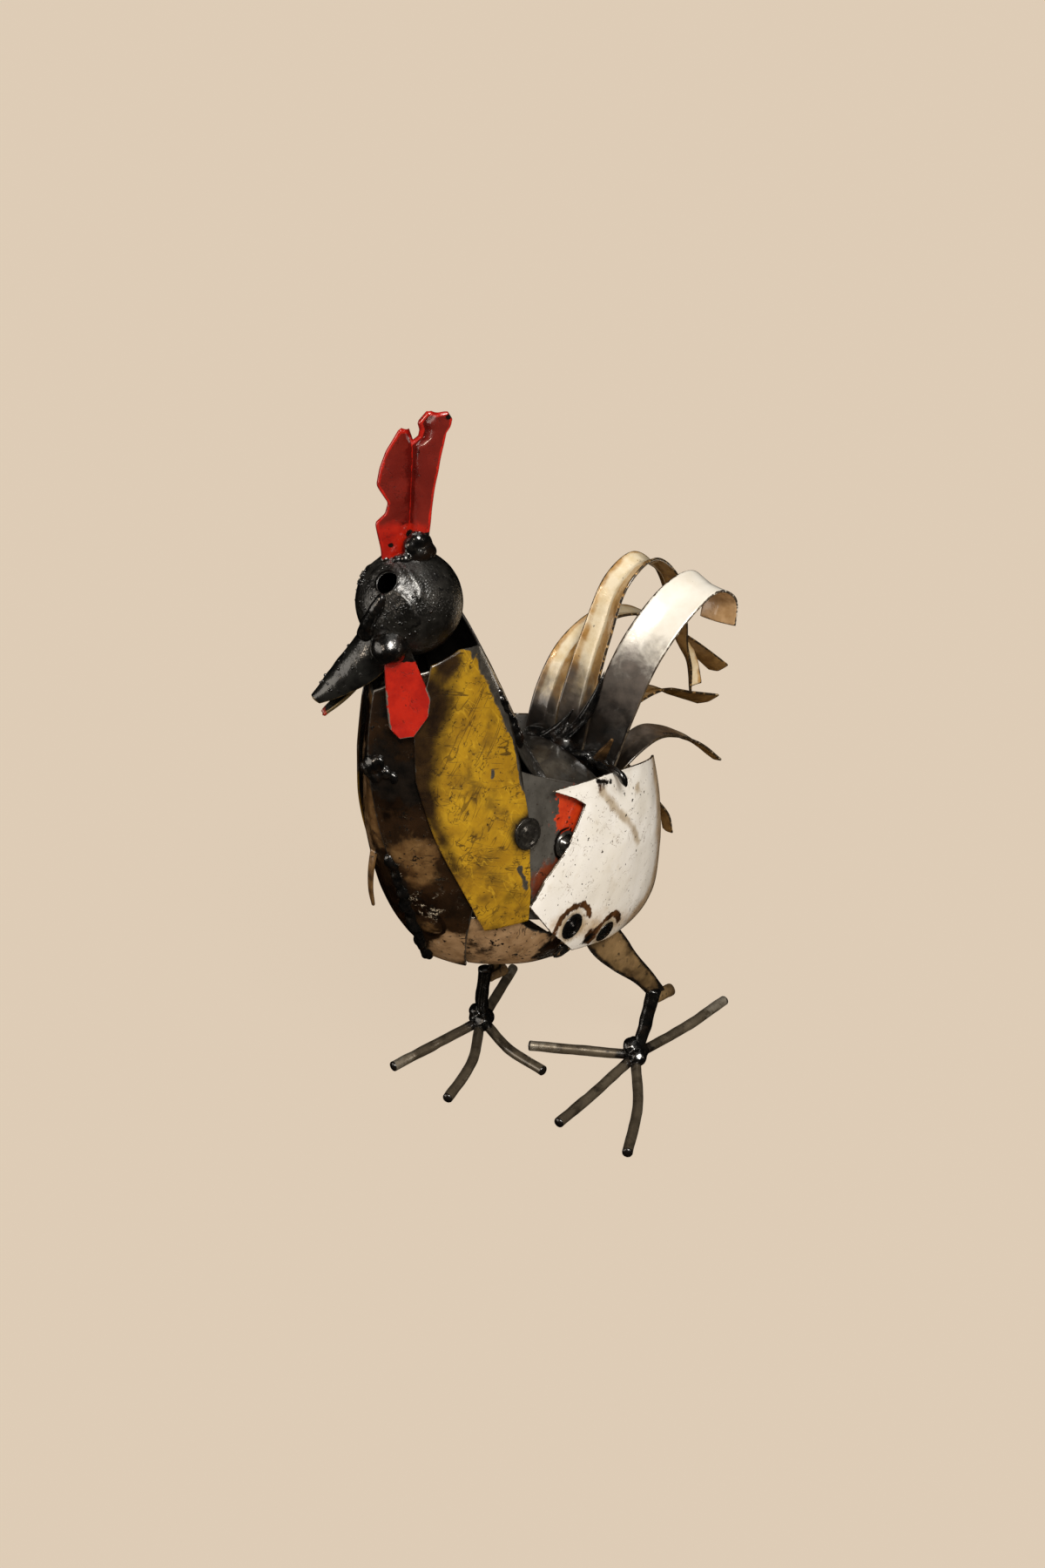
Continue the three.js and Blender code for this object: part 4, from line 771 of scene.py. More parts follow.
def ball_direction(pole, round_it):
    """Direction on a sphere from a grid of the circles about both eyes: exp(pole + i round_it) is moved by a
    Moebius map that takes infinity and zero to the eyes, and then back from the plane to the sphere."""
    between = unit(EYE * [0, 1, 1])
    across = np.array([1.0, 0, 0])
    third = np.cross(between, across)
    half, hole = math.acos(EYE @ between), math.asin(EYE_RADIUS / HEAD_RADIUS)
    reach = math.sqrt(math.tan((half - hole) / 2) * math.tan((half + hole) / 2))
    edge = 2 * math.atanh(math.tan((half - hole) / 2) / reach)
    angle = 2 * np.arctan2(reach, np.tan(round_it / 2 + 1e-4))
    w = np.exp(pole * edge + 1j * angle)
    z = reach * (w + 1) / (w - 1)
    size = np.abs(z) ** 2
    parts = np.stack([2 * z.real, 2 * z.imag, 1 - size], -1) / (1 + size)[..., None]
    return parts @ np.stack([across, third, between])


SLAG_RIM = [[3.7, -14.2, 15.7], [2.7, -11.1, 18.2], [4.5, -7.5, 19.6], [9.3, -5.8, 18.5], [13.8, -6.3, 15.2],
            [14.8, -9.6, 12.3], [13.6, -12.8, 10.6], [9.5, -15.1, 12.1]]
SLAG_RUNS = [[[4.7, -4.9, 20.4], [10.5, -1.7, 18.7], [15.3, 0.7, 15.1], [18.2, 1.4, 11.3]],
             [[16.9, -5.7, 12.0], [19.6, -2.8, 8.3], [21.0, -1.9, 4.1]]]
black_ball = painted("blackened_steel_lacquered", coat("#100f0d", "#1f1e1b", 0.34, 0.45, mottle=9), [
    coat("#3d3b37", "#2a2826", 0.34, 0.4, grain=13, level=0.5, blur=0.12, strength=0.8),
    # Brown in the black, low at the back of the ball: a painted reflection of the mustard neck plates below it.
    coat("#2e2110", "#1c140a", 0.32, 0.3, grain=9, level=0.82, blur=0.18, brown=0.55),
    coat("#080706", "#121110", 0.3, grain=3.2, level=0.58, blur=0.05),
    coat("#6d6a64", "#4c4a46", 0.3, 0.7, grain=1.3, level=0.66, blur=0.03, strength=0.7, rise=0.8),
], lacquer=0.05, relief=0.55, ripple=(1.1, 0.8))
pole, round_it = np.meshgrid(np.linspace(-1, 1, 150), np.linspace(0, 2 * np.pi, 190)[:-1])
direction = ball_direction(pole, round_it)
skin = direction * HEAD_RADIUS
rim = near_path(skin, SLAG_RIM, 2.2) + near_path(skin, np.array(SLAG_RIM) * [-1, 1, 1], 2.0)
runs = sum(near_path(skin, run, 2.4) for run in SLAG_RUNS)
proud = 0.5 * rim * (0.8 + 0.3 * lumps(skin, 3.3, 4)) + 0.75 * runs * (0.8 + 0.4 * lumps(skin, 3.6, 6))
proud += 0.28 * near(skin, [13, -9, 12], 12) * lumps(skin, 2.2, 8) + 0.1 * lumps(skin, 4, 1)
outer = direction * (HEAD_RADIUS + proud)[..., None]
inner = direction * (HEAD_RADIUS - HEAD_WALL)
place = np.arange(pole.size).reshape(pole.shape)
ahead = np.roll(place, -1, axis=0)
quads = np.stack([place[:, :-1], place[:, 1:], ahead[:, 1:], ahead[:, :-1]], -1).reshape(-1, 4)
size = place.size
rings = [np.stack([place[:, k], ahead[:, k], ahead[:, k] + size, place[:, k] + size], -1) for k in (0, -1)]
ball_corners = from_head(np.concatenate([outer.reshape(-1, 3), inner.reshape(-1, 3)]))
ball_faces = np.concatenate([quads, quads[:, ::-1] + size, rings[0][:, ::-1], rings[1]])
# Brown low at the back of the ball, above the neck plates: a painted reflection of those plates.
brown = np.tile(np.clip(near(skin, [14, 9, -12], 15) + near(skin, [-14, 3, -14], 12), 0, 1).ravel(), 2)
put_piece("head_ball_dressed", ball_corners, ball_faces, black_ball, "black_lacquer", ("head_ball",),
          {"brown": brown})


def closed_bar(path, radii, sides=24, across=(0, 0, 1), wobble=0.0, grain=3.0, seed=1):
    """Closed round bar along a path: a ring of sides corners at each path point, radii from its axis and
    wobble uneven, in the plane across the path's direction, with the first and last point as its two
    poles."""
    path, radii = np.asarray(path, float), np.asarray(radii, float)
    along = unit(np.gradient(path, axis=0))
    side = unit(np.cross(along, np.asarray(across, float)))
    up = np.cross(side, along)
    angle = (np.arange(sides) / sides * 2 * np.pi)[None, :, None]
    ray = np.cos(angle) * side[:, None] + np.sin(angle) * up[:, None]
    ring = path[:, None] + ray * radii[:, None, None]
    ring = ring + ray * (wobble * lumps(ring, grain, seed) * np.minimum(radii, 1)[:, None])[..., None]
    stations = len(path) - 2
    place = np.arange(stations * sides).reshape(stations, sides)
    next_one = np.roll(place, -1, axis=1)
    quads = np.stack([place[:-1], next_one[:-1], next_one[1:], place[1:]], -1).reshape(-1, 4)
    first, last = stations * sides, stations * sides + 1
    caps = [np.stack([np.full(sides, first), next_one[0], place[0]], -1),
            np.stack([np.full(sides, last), place[-1], next_one[-1]], -1)]
    return np.concatenate([ring[1:-1].reshape(-1, 3), path[[0, -1]]]), [quads, *caps]


def lump_shell(centre, radii, sides=28, wobble=0.0, grain=3.0, seed=1):
    """Closed uneven egg about a centre: a bar along Z whose radius is that of a half circle, then
    stretched."""
    tilt = np.linspace(0, np.pi, max(sides // 2, 6) + 1)
    path = np.stack([0 * tilt, 0 * tilt, -np.cos(tilt)], -1)
    ring, faces = closed_bar(path, np.sin(tilt), sides, across=(0, 1, 0))
    corners = ring * radii
    uneven = wobble * lumps(corners + np.asarray(centre), grain, seed)
    return corners + unit(corners / np.square(radii)) * uneven[..., None] + centre, faces


def joined(shells):
    """Several closed shells as one list of corners and faces."""
    corners, groups, start = [], [], 0
    for points, faces in shells:
        corners.append(points)
        groups += [group + start for group in (faces if isinstance(faces, list) else [faces])]
        start += len(points)
    return np.concatenate(corners), groups


def bent_path(points, at):
    """Points at the given shares of a smooth curve's length: a centripetal Catmull-Rom curve through the
    points, run on straight at both ends."""
    points = np.asarray(points, float)
    ends = np.concatenate([[2 * points[0] - points[1]], points, [2 * points[-1] - points[-2]]])
    fine = []
    for a, b, c, d in zip(ends[:-3], ends[1:-2], ends[2:-1], ends[3:]):
        t0, t1, t2 = (math.sqrt(max(np.linalg.norm(q - p), 1e-4)) for p, q in ((a, b), (b, c), (c, d)))
        slope_b = ((b - a) / t0 - (c - a) / (t0 + t1) + (c - b) / t1) * t1
        slope_c = ((c - b) / t1 - (d - b) / (t1 + t2) + (d - c) / t2) * t1
        s = np.linspace(0, 1, 60)[:, None]
        fine.append((2 * s ** 3 - 3 * s ** 2 + 1) * b + (s ** 3 - 2 * s ** 2 + s) * slope_b
                    + (3 * s ** 2 - 2 * s ** 3) * c + (s ** 3 - s ** 2) * slope_c)
    fine = np.concatenate([part[:-1] for part in fine] + [fine[-1][-1:]])
    length = np.pad(np.cumsum(np.linalg.norm(np.diff(fine, axis=0), axis=1)), (1, 0))
    return np.stack([np.interp(np.asarray(at) * length[-1], length, fine[:, k]) for k in range(3)], -1)


# Weld metal at the head: black, glassy and lumpy, in runs and drops. It bridges the beak to the ball and
# fills the comb's heel. It is laid as overlapping lumps, which a remesh of under a millimetre melts into
# one skin.
weld_metal = painted("weld_metal_lacquered", coat("#080808", "#141312", 0.26, 0.35, mottle=4), [
    coat("#2a2825", "#3a3732", 0.28, 0.7, grain=3, level=0.62, blur=0.06, strength=0.7),
    coat("#22150a", "#160d06", 0.3, grain=7, level=0.58, blur=0.08, strength=0.6),
], lacquer=0.05, relief=0.5, ripple=(1.6, 0.4))


def put_weld(name, shells, stands_for=(), voxel=0.55, smooth=4):
    """A melted mass of weld metal made of overlapping closed shells."""
    corners, faces = joined(shells)
    mass = put_piece(name, corners, faces, weld_metal, "black_lacquer", stands_for)
    melt = mass.modifiers.new("melt", "REMESH")
    melt.mode = "VOXEL"
    melt.voxel_size = voxel / 1000
    melt.use_smooth_shade = True
    flow = mass.modifiers.new("flow", "SMOOTH")
    flow.factor = 0.5
    flow.iterations = smooth


BEAK_WELD = [[13.4, 12.0, 12.2], [13.8, 14.6, 7.0], [11.6, 17.2, 0.5], [8.6, 18.6, -5.6], [6.0, 20.2, -11.0]]
BEAK_WELD_RADII = [[0, 0], [0.04, 1.8], [0.3, 3.0], [0.6, 3.6], [0.85, 3.6], [0.97, 2.4], [1, 0]]
COLLAR_TURNS = np.radians([35, 60, 78])
jitter = np.random.default_rng(11)
along_tongue = np.linspace(0, 1, 40)
tongue = bent_path([in_head(*spot) for spot in BEAK_WELD], along_tongue)
tongue_radii = eased(BEAK_WELD_RADII, along_tongue)
tongue_radii = tongue_radii + 0.3 * lumps(tongue, 3, 2) * (tongue_radii > 1)
beak_blobs = [closed_bar(from_head(tongue), tongue_radii, 26, (1, 0, 0))]
for turn in COLLAR_TURNS:
    spot = in_head(10.6 * math.sin(turn), 18.0 + 1.5 * math.cos(turn), -6.0 - 2.5 * math.cos(turn))
    beak_blobs.append(lump_shell(from_head(spot + jitter.normal(0, 0.4, 3)), [2.6, 2.4, 2.4], 18, 0.5, 2, 5))
put_weld("beak_weld", beak_blobs, smooth=8)

COMB_WELD_SPOTS = [
    [0.5, -4.4, 21.5, 5.8], [0.3, -4.2, 26.6, 4.4], [-0.5, -5.8, 25.0, 4.4], [1.0, -1.6, 25.0, 3.8],
    [-0.5, 8.8, 19.4, 2.4], [3.4, 5.0, 20.4, 2.2], [4.0, 1.6, 20.9, 2.6], [-3.4, 2.0, 21.0, 2.6],
    [-3.4, 6.4, 20.0, 2.2], [0.2, -8.2, 21.5, 3.4]]
put_weld("comb_weld_dressed", [
    lump_shell(from_head(in_head(left, forward, up)), np.full(3, size), 18, 0.25, 3, 7)
    for left, forward, up, size in COMB_WELD_SPOTS], ("comb_weld",), smooth=14)

# Cheek knobs: thick drops of weld metal on the ball's cheeks, black and glassy, that carry the wattles.
for side, name in ((1, "cheek_knob_left"), (-1, "cheek_knob_right")):
    knob_centre = in_head(side * 17.2, 11.2, -10)
    put_weld(name + "_dressed", [
        lump_shell(from_head(knob_centre), [7.6, 7.6, 7.2], 36, 0.5, 3.4, 5),
        lump_shell(from_head(knob_centre + [side * 0.4, 0.5, -4.2]), [3.4, 3.4, 3.6], 24, 0.4, 2, 6),
        lump_shell(from_head(knob_centre + [-side * 3.4, 0.8, 3.0]), [4.6, 4.4, 4.2], 24, 0.5, 2, 2)], (name,))

# Beak: a half cone of dark sheet, welded to the ball, over a narrow folded tongue of sheet whose tip still
# has some red on it.
RIDGE_START, BEAK_TIP = np.array([16.5, -8.6]), np.array([40.6, -38.4])
BEAK_SHEET = 1.4
beak_black = painted("beak_steel_lacquered", coat("#121212", "#242321", 0.3, 0.5, mottle=7), [
    coat("#3a3a37", "#2a2a28", 0.28, 0.7, grain=9, level=0.54, blur=0.1, strength=0.7),
    coat("#0c0b0a", "#141210", 0.3, grain=2.4, level=0.63, blur=0.03, rise=0.8),
    coat("#6a5a3c", "#8a744a", 0.35, 0.6, grain=2, level=0.98, blur=0.08, strength=0.8, rim=0.6),
    coat("#b8321a", "#7c2412", 0.35, grain=3, level=0.86, blur=0.06, red=0.55),
    coat("#2a2a12", "#14130c", 0.35, grain=5, level=0.84, blur=0.1, inside=0.6),
], lacquer=0.05, relief=0.4, ripple=(1.8, 0.45))
BEAK_DEPTH = [[0, 12], [0.35, 12], [0.75, 7], [1, 2.8]]
BEAK_HALF_WIDTH = [[0, 10], [0.35, 10.4], [0.75, 6.8], [1, 2.6]]
BEAK_RIM = 1.1
u, v = np.meshgrid(np.linspace(0, 1, 60), np.linspace(0, 1, 56))
ridge = np.array([0, -(BEAK_TIP[0] - RIDGE_START[0]), BEAK_TIP[1] - RIDGE_START[1]])
down = ridge / np.linalg.norm(ridge)
drop = np.array([0, -down[2], down[1]])
bend = 2 * u - 1
angle = np.abs(bend) ** 1.25 * np.pi / 2
beak_middle = in_head(0, *RIDGE_START) + v[..., None] * ridge
beak_middle = beak_middle + (eased(BEAK_DEPTH, v) * (1 - np.cos(angle)))[..., None] * drop
beak_middle[..., 0] += np.sign(bend) * eased(BEAK_HALF_WIDTH, v) * np.sin(angle)
beak_out = unit(np.stack([np.sign(bend) * np.sin(angle), 0 * u, 0 * u], -1) - np.cos(angle)[..., None] * drop)
beak_middle = beak_middle + beak_out * (0.22 * lumps(beak_middle, 5, 2))[..., None]
put_sheet("upper_beak_dressed", beak_middle, beak_out, BEAK_SHEET, beak_black, "black_lacquer",
          {"rim": 1 - edge_gap(beak_middle) / BEAK_RIM}, ("upper_beak",), inside=1, turned=from_head)


def strip_grid(points, widths, columns, steps, across=(1, 0, 0), twists=((0, 0), (1, 0)), crease=0.0):
    """Mid-surface and outward directions of a flat strip along a curve: its width lies across the curve,
    turned about it by the twists, and its middle line stands out by the crease."""
    share = np.linspace(0, 1, steps)
    path = bent_path(points, share)
    along = unit(np.gradient(path, axis=0))
    face = unit(np.cross(along, np.asarray(across, float)))
    width = np.cross(face, along)
    turn = eased(twists, share)[:, None]
    width, face = (way * np.cos(turn) + np.cross(along, way) * np.sin(turn) for way in (width, face))
    s = np.linspace(0, 1, columns)
    middle = path[:, None] + ((s - 0.5)[None, :] * eased(widths, share)[:, None])[..., None] * width[:, None]
    fold = crease * (1 - np.abs(2 * s - 1) ** 1.25)
    middle = middle + fold[None, :, None] * face[:, None]
    slope = np.gradient(fold, s)[None, :, None] / np.maximum(eased(widths, share), 1)[:, None, None]
    return middle, unit(face[:, None] - slope * width[:, None]), share


lower_middle, lower_out, lower_share = strip_grid(
    [in_head(0, 13, -17), in_head(0, 19.5, -29), in_head(0, 27, -38), in_head(0, 37, -46.5)],
    [[0, 11], [0.5, 9], [0.85, 6], [1, 3.5]], 24, 50, crease=-1.2)
lower_red = np.broadcast_to((lower_share[:, None] - 0.9) / 0.08, lower_middle.shape[:2])
put_sheet("lower_beak_dressed", lower_middle, lower_out, BEAK_SHEET, beak_black, "black_lacquer",
          {"rim": 1 - edge_gap(lower_middle) / BEAK_RIM, "red": lower_red}, ("lower_beak",), turned=from_head)

# Comb and wattles: thick plate in glossy red enamel, with burnt and chipped edges. The comb is folded along
# an upright valley and welded on top of the ball; the wattles hang from the cheek knobs.
COMB_SHEET, WATTLE_SHEET, COMB_FOLD = 2.4, 1.6, 3.6
red_enamel = painted("red_enamel_glossy", coat("#6a150d", "#7c1d12", 0.34, mottle=12), [
    coat("#9c0f02", "#b41b04", 0.34, grain=9, level=0.84, blur=0.2, bright=0.6),
    # Darker red where the valley mark lies: painted shade down the comb's fold.
    coat("#4c0804", "#5e0c06", 0.3, grain=6, level=0.85, blur=0.08, valley=0.6),
    coat("#c01c0c", "#9c140a", 0.3, grain=3, level=0.92, blur=0.1, rim=0.6),
    coat("#5a0c06", "#3c0804", 0.36, grain=4, lines=0.03, level=0.5, blur=0.3, curl=1.0, detail=2.0,
         breaks=6, strength=0.6, rise=-0.6),
    coat("#1a0806", "#2c0d08", 0.35, grain=3.0, level=0.69, blur=0.03, rise=-1.2),
    coat(*SOOT, grain=4, level=0.86, blur=0.06, soot=0.62),
    coat("#a09a90", "#c9c2b4", 0.3, 0.8, grain=3, level=0.99, blur=0.06, worn=0.55),
], lacquer=0.06, relief=0.35, ripple=(3.0, 0.35))
FRONT_LOBE = [
    [[9.6, 17], [-1.5, 17]], [[9.8, 24], [-1.5, 24]], [[11.7, 36], [-2.5, 37]], [[7.6, 39.5], [-2.8, 40]],
    [[6.3, 44.2], [-3, 45]], [[10.5, 52], [-3.6, 53]], [[9, 59], [-4, 59]], [[6.4, 65.5], [-4.2, 64.5]],
    [[1.2, 73.6], [-2.6, 71.4]]]
REAR_BAR = [
    [[1.5, 19], [-6, 19]], [[0, 31], [-8.4, 31.4]], [[-0.8, 46], [-10.5, 46.4]], [[-1.6, 59], [-12.8, 59]],
    [[-2.2, 65.4], [-14.6, 66]], [[-6.9, 68.5], [-15.9, 71]], [[-7.6, 71.5], [-17.6, 73.4]],
    [[-6.9, 74.4], [-18.2, 76]], [[-10, 77.8], [-16.8, 78.6]]]


def softened(rows, steps, reach):
    """Rows of edge points resampled by straight runs and then averaged over reach neighbours, so that cut
    corners turn round; the first and last row stay."""
    table = np.array(rows, float)
    up = np.linspace(0, len(table) - 1, steps)
    i = np.clip(up.astype(int), 0, len(table) - 2)
    grid = table[i] + (up - i)[:, None, None] * (table[i + 1] - table[i])
    kernel = np.ones(reach) / reach
    smooth = np.apply_along_axis(lambda line: np.convolve(line, kernel, "same"), 0, grid)
    half = reach // 2
    smooth[:half], smooth[-half:] = grid[:half], grid[-half:]
    return smooth


REAR_FOLD = [[0, 0], [0.5, 0.1], [0.72, 0.5], [0.84, 0.95], [1, 1]]
COMB_SOOT = [(1, 2.2, (0, -17, 77.5)), (1, 1.6, (0, -8, 75)), (1.3, 2.2, (-1, 6.4, 26))]


def comb_grid(rows, fold_at_rear):
    """Mid-surface of one leaf of the comb: from its fore to its aft edge, sinking towards the valley."""
    grid = softened(rows, 110, 5)
    u = np.linspace(0, 1, 26)
    fore, aft = grid[:, None, 0], grid[:, None, 1]
    flat = fore + u[None, :, None] * (aft - fore)
    near_fold = u ** 2.2 if fold_at_rear else eased(REAR_FOLD, 1 - u)
    left = np.broadcast_to(-COMB_FOLD * near_fold, flat.shape[:2])
    middle = in_head(left, flat[..., 0], flat[..., 1])
    out = unit(np.array([1.0, (-1 if fold_at_rear else 1) * COMB_FOLD / 11, 0]))
    middle = middle + out * (0.5 * lumps(middle, 8, 4 + fold_at_rear))[..., None]
    return middle, np.broadcast_to(out, middle.shape), np.broadcast_to(near_fold, flat.shape[:2])


leaves, comb_marks = [], {}
for rows, fold_at_rear in ((FRONT_LOBE, True), (REAR_BAR, False)):
    leaf, out, near_fold = comb_grid(rows, fold_at_rear)
    corners, faces, source = sheet_shell(leaf, out, COMB_SHEET)
    leaves.append((from_head(corners), faces))
    heel = np.clip((31 - leaf[..., 2]) / 1.5, 0, 1) * np.clip((leaf[..., 1] + 0.5) / 1.5, 0, 1)
    leaf_marks = {
        "bright": 1 - (leaf[..., 2] - 30) / 9,
        # Darker red in the fold's valley is painted shade.
        "valley": near_fold * (leaf[..., 2] > 33),
        "rim": 1.3 - edge_gap(leaf) / 1.1,
        "soot": heel + sum(strength * near(leaf, in_head(*spot), reach) for strength, reach, spot in COMB_SOOT)
        + 0.8 * near_path(leaf, [in_head(0, 10, 17), in_head(0, 0, 18)], 1.5)}
    for mark, values in leaf_marks.items():
        comb_marks.setdefault(mark, []).append(np.clip(values, 0, 1).ravel()[source])
corners, faces = joined(leaves)
put_piece("comb_dressed", corners, faces, red_enamel, "red_enamel", ("comb",),
          {mark: np.concatenate(parts) for mark, parts in comb_marks.items()})

WATTLE_ROWS = [
    [[9.6, -48], [4.2, -48]], [[13, -43.8], [-2, -40.6]], [[13.6, -32.6], [-3.4, -33.2]],
    [[13.4, -18.2], [1, -19.8]], [[12.6, -10.6], [4, -10.6]]]
WATTLE_TOP_OUT = 17.7
for side, name, foot_out, ahead_of in ((1, "wattle_left", 24, 0), (-1, "wattle_right", 33, 4)):
    grid = softened(WATTLE_ROWS, 60, 3)
    u, v = np.meshgrid(np.linspace(0, 1, 34), np.linspace(0, 1, 60))
    flat = grid[:, None, 0] + u[..., None] * (grid[:, None, 1] - grid[:, None, 0])
    left = side * (foot_out + (WATTLE_TOP_OUT - foot_out) * v)
    wattle = in_head(left, flat[..., 0] + ahead_of * (1 - v), flat[..., 1])
    out = unit(np.array([side, 0, 0.1]))
    wattle = wattle + out * (0.3 * lumps(wattle, 6, 3))[..., None]
    wattle_marks = {
        "bright": np.ones(u.shape), "worn": (1 - edge_gap(wattle) / 0.8) * (v < 0.6), "soot": (v - 0.8) / 0.06}
    put_sheet(name + "_dressed", wattle, np.broadcast_to(out, wattle.shape), WATTLE_SHEET, red_enamel,
              "red_enamel", wattle_marks, (name,), turned=from_head)

# Tail: six long strips of sheet, creased down the middle and curled over, all sprung from one weld. Each is
# sooty at its root, then heat-tinted grey and gold, and pale steel or white enamel towards its end.
feather_steel = painted("feather_steel_tinted", coat("#dcc59a", "#efe0c2", 0.34, 0.1, mottle=8), [
    coat("#a87a3e", "#c99f62", 0.32, 0.2, grain=8, level=0.86, blur=0.22, gold=0.5),
    coat("#4a423a", "#6b6056", 0.34, 0.4, grain=9, level=1.05, blur=0.4, grey=1.1),
    coat("#6e4f26", "#957341", 0.36, 0.2, grain=8, level=0.78, blur=0.12, inside=0.55),
    coat("#2a2117", "#453622", 0.36, grain=1.8, level=0.68, blur=0.03, strength=0.8),
    coat(*SOOT, grain=9, level=1.05, blur=0.4, soot=1.1),
    coat("#c9c4b6", "#8f897c", 0.4, 0.3, grain=2.2, level=0.92, blur=0.03, rise=1.0, flake=0.3),
    coat("#2d241a", "#4b3d29", 0.35, 0.4, grain=2, level=0.97, blur=0.08, rim=0.55),
], relief=0.3)
feather_white = painted("feather_white_enamel", coat("#efeae0", "#e2dacb", 0.33, mottle=20), [
    coat("#15110d", "#3a2d20", 0.4, grain=1.7, level=0.73, blur=0.02, rise=-1.0),
    coat("#c9a57a", "#ab865a", 0.36, 0.1, grain=8, level=0.8, blur=0.12, inside=0.6),
    coat("#6c625a", "#57504a", 0.33, 0.3, grain=9, level=1.05, blur=0.3, grey=1.1),
    coat(*SOOT, grain=9, level=1.05, blur=0.45, soot=1.1),
    coat("#d8d2c6", "#8f897c", 0.4, grain=1.7, level=0.93, blur=0.03, flake=0.26),
    coat("#3b3129", "#6a5d4c", 0.35, 0.4, grain=2, level=0.97, blur=0.08, rim=0.55),
], relief=0.3)
FEATHER_WIDTH = 14
# The first two feathers carry a tint across their width, cream left of the middle and gold-brown to the right:
# partly heat tint, partly painted light and shade.
STREAKED = ("tail_feather_1", "tail_feather_2")
ACROSS_TINT = [[0, 1], [0.12, 0.5], [0.25, -0.3], [0.55, -0.3], [0.66, 0.7], [1, 1]]
FEATHERS = [
    ("tail_feather_1", feather_steel, 1.8, (0.1, 0.17, 0.34),
     [[0, 1.3], [0.15, 1.1], [0.35, 0.79], [0.6, 0.79], [1, 0.71]], [[0, 0], [0.6, 0], [1, -0.6]],
     [[-0.393, 0.006, 0.457], [-0.417, 0.054, 0.611], [-0.405, 0.126, 0.728], [-0.393, 0.234, 0.778],
      [-0.393, 0.347, 0.759], [-0.429, 0.455, 0.691], [-0.476, 0.611, 0.549], [-0.476, 0.754, 0.401]]),
    ("tail_feather_2", feather_steel, 2.8, (0.12, 0.2, 0.4),
     [[0, 1.5], [0.18, 1.35], [0.5, 1], [1, 0.64]], [[0, 0], [0.78, 0], [0.9, 0.9], [1, 1.4]],
     [[-0.024, 0.012, 0.457], [0, 0.06, 0.636], [0.024, 0.12, 0.815], [0.024, 0.192, 0.951],
      [0.012, 0.287, 0.988], [-0.024, 0.383, 0.914], [-0.048, 0.437, 0.802], [-0.048, 0.467, 0.673],
      [-0.024, 0.515, 0.568], [-0.024, 0.533, 0.469]]),
    ("tail_feather_3", feather_white, 1, (0.25, 0.44, 0.4),
     [[0, 1.4], [0.2, 1.36], [0.6, 1.36], [1, 1.25]],
     [[0, 0.25], [0.2, 0.5], [0.6, 0.45], [0.8, 0.15], [1, -0.25]],
     [[0.321, 0.042, 0.463], [0.357, 0.108, 0.623], [0.369, 0.204, 0.772], [0.381, 0.341, 0.877],
      [0.381, 0.437, 0.892], [0.393, 0.497, 0.833], [0.405, 0.488, 0.753]]),
    ("tail_feather_4", feather_steel, 1, (0.2, 0.3, 1.4),
     [[0, 0.64], [0.4, 0.86], [1, 0.86]], [[0, 0], [0.5, -0.2], [1, -0.7]],
     [[-0.024, 0.06, 0.444], [-0.095, 0.144, 0.444], [-0.167, 0.269, 0.5], [-0.238, 0.413, 0.494],
      [-0.333, 0.557, 0.407], [-0.405, 0.695, 0.321]]),
    ("tail_feather_5", feather_steel, 1, (0.3, 0.9, 0.9),
     [[0, 0.79], [0.4, 1], [0.7, 0.79], [1, 0.57]], [[0, 0], [1, 0]],
     [[0.286, 0.054, 0.37], [0.333, 0.15, 0.454], [0.333, 0.246, 0.481], [0.333, 0.323, 0.454],
      [0.333, 0.431, 0.377], [0.333, 0.527, 0.278]]),
    ("tail_feather_6", feather_steel, 0.6, (0.2, 0.8, 1.2),
     [[0, 0.57], [0.5, 0.57], [1, 0.43]], [[0, 0], [1, 0]],
     [[-0.167, 0.054, 0.401], [-0.167, 0.162, 0.389], [-0.167, 0.269, 0.321], [-0.167, 0.347, 0.213],
      [-0.167, 0.416, 0.117], [-0.167, 0.464, 0.043], [-0.167, 0.482, -0.025]]),
]
for number, (name, finish, crease, fades, widths, twists, shares) in enumerate(FEATHERS):
    points = np.array(shares) * [BODY_HALF_WIDTH, BODY_LENGTH, BODY_HEIGHT] + [0, 0, UNDERSIDE]
    sized = np.array(widths) * [1, FEATHER_WIDTH]
    feather, out, share = strip_grid(points, sized, 22, 190, twists=twists, crease=crease)
    gap = edge_gap(feather)
    feather = feather + out * (0.3 * lumps(feather, 9, number) * np.clip(gap / 3, 0.3, 1))[..., None]
    share_at = np.broadcast_to(share[:, None], feather.shape[:2]) + 0.03 * lumps(feather, 8, 20 + number)
    values = {"rim": 1 - gap / 0.9, "flake": (1.2 - share_at / fades[0]) * (share_at > 0.05)}
    for mark, reach in zip(("soot", "grey", "gold"), fades):
        values[mark] = np.clip(1.5 - share_at / reach, 0, 1)
    # Painted light and shade across the strip, with heat tint: cream on the lit half, gold-brown on the shaded
    # half.
    if name in STREAKED:
        values["gold"] = values["gold"] * 0.6 + eased(ACROSS_TINT, np.linspace(0, 1, 22))[None, :]
    put_sheet(name + "_dressed", feather, out, SHEET, finish,
              "white_enamel" if finish == feather_white else "feather_steel", values, (name,), inside=0)


# Breast tongue: a torn strip of the right breast plate, of burnt sheet, that hangs clear of the keel.
def put_offcut(name, points, widths, steps, across, brown):
    """A small bare strip of burnt sheet that stands for no solid."""
    middle, out, share = strip_grid(points, widths, 8, steps, across)
    put_sheet(name, middle, out, SHEET, burnt_steel, "burnt_steel", {"brown": np.full(middle.shape[:2], brown)})


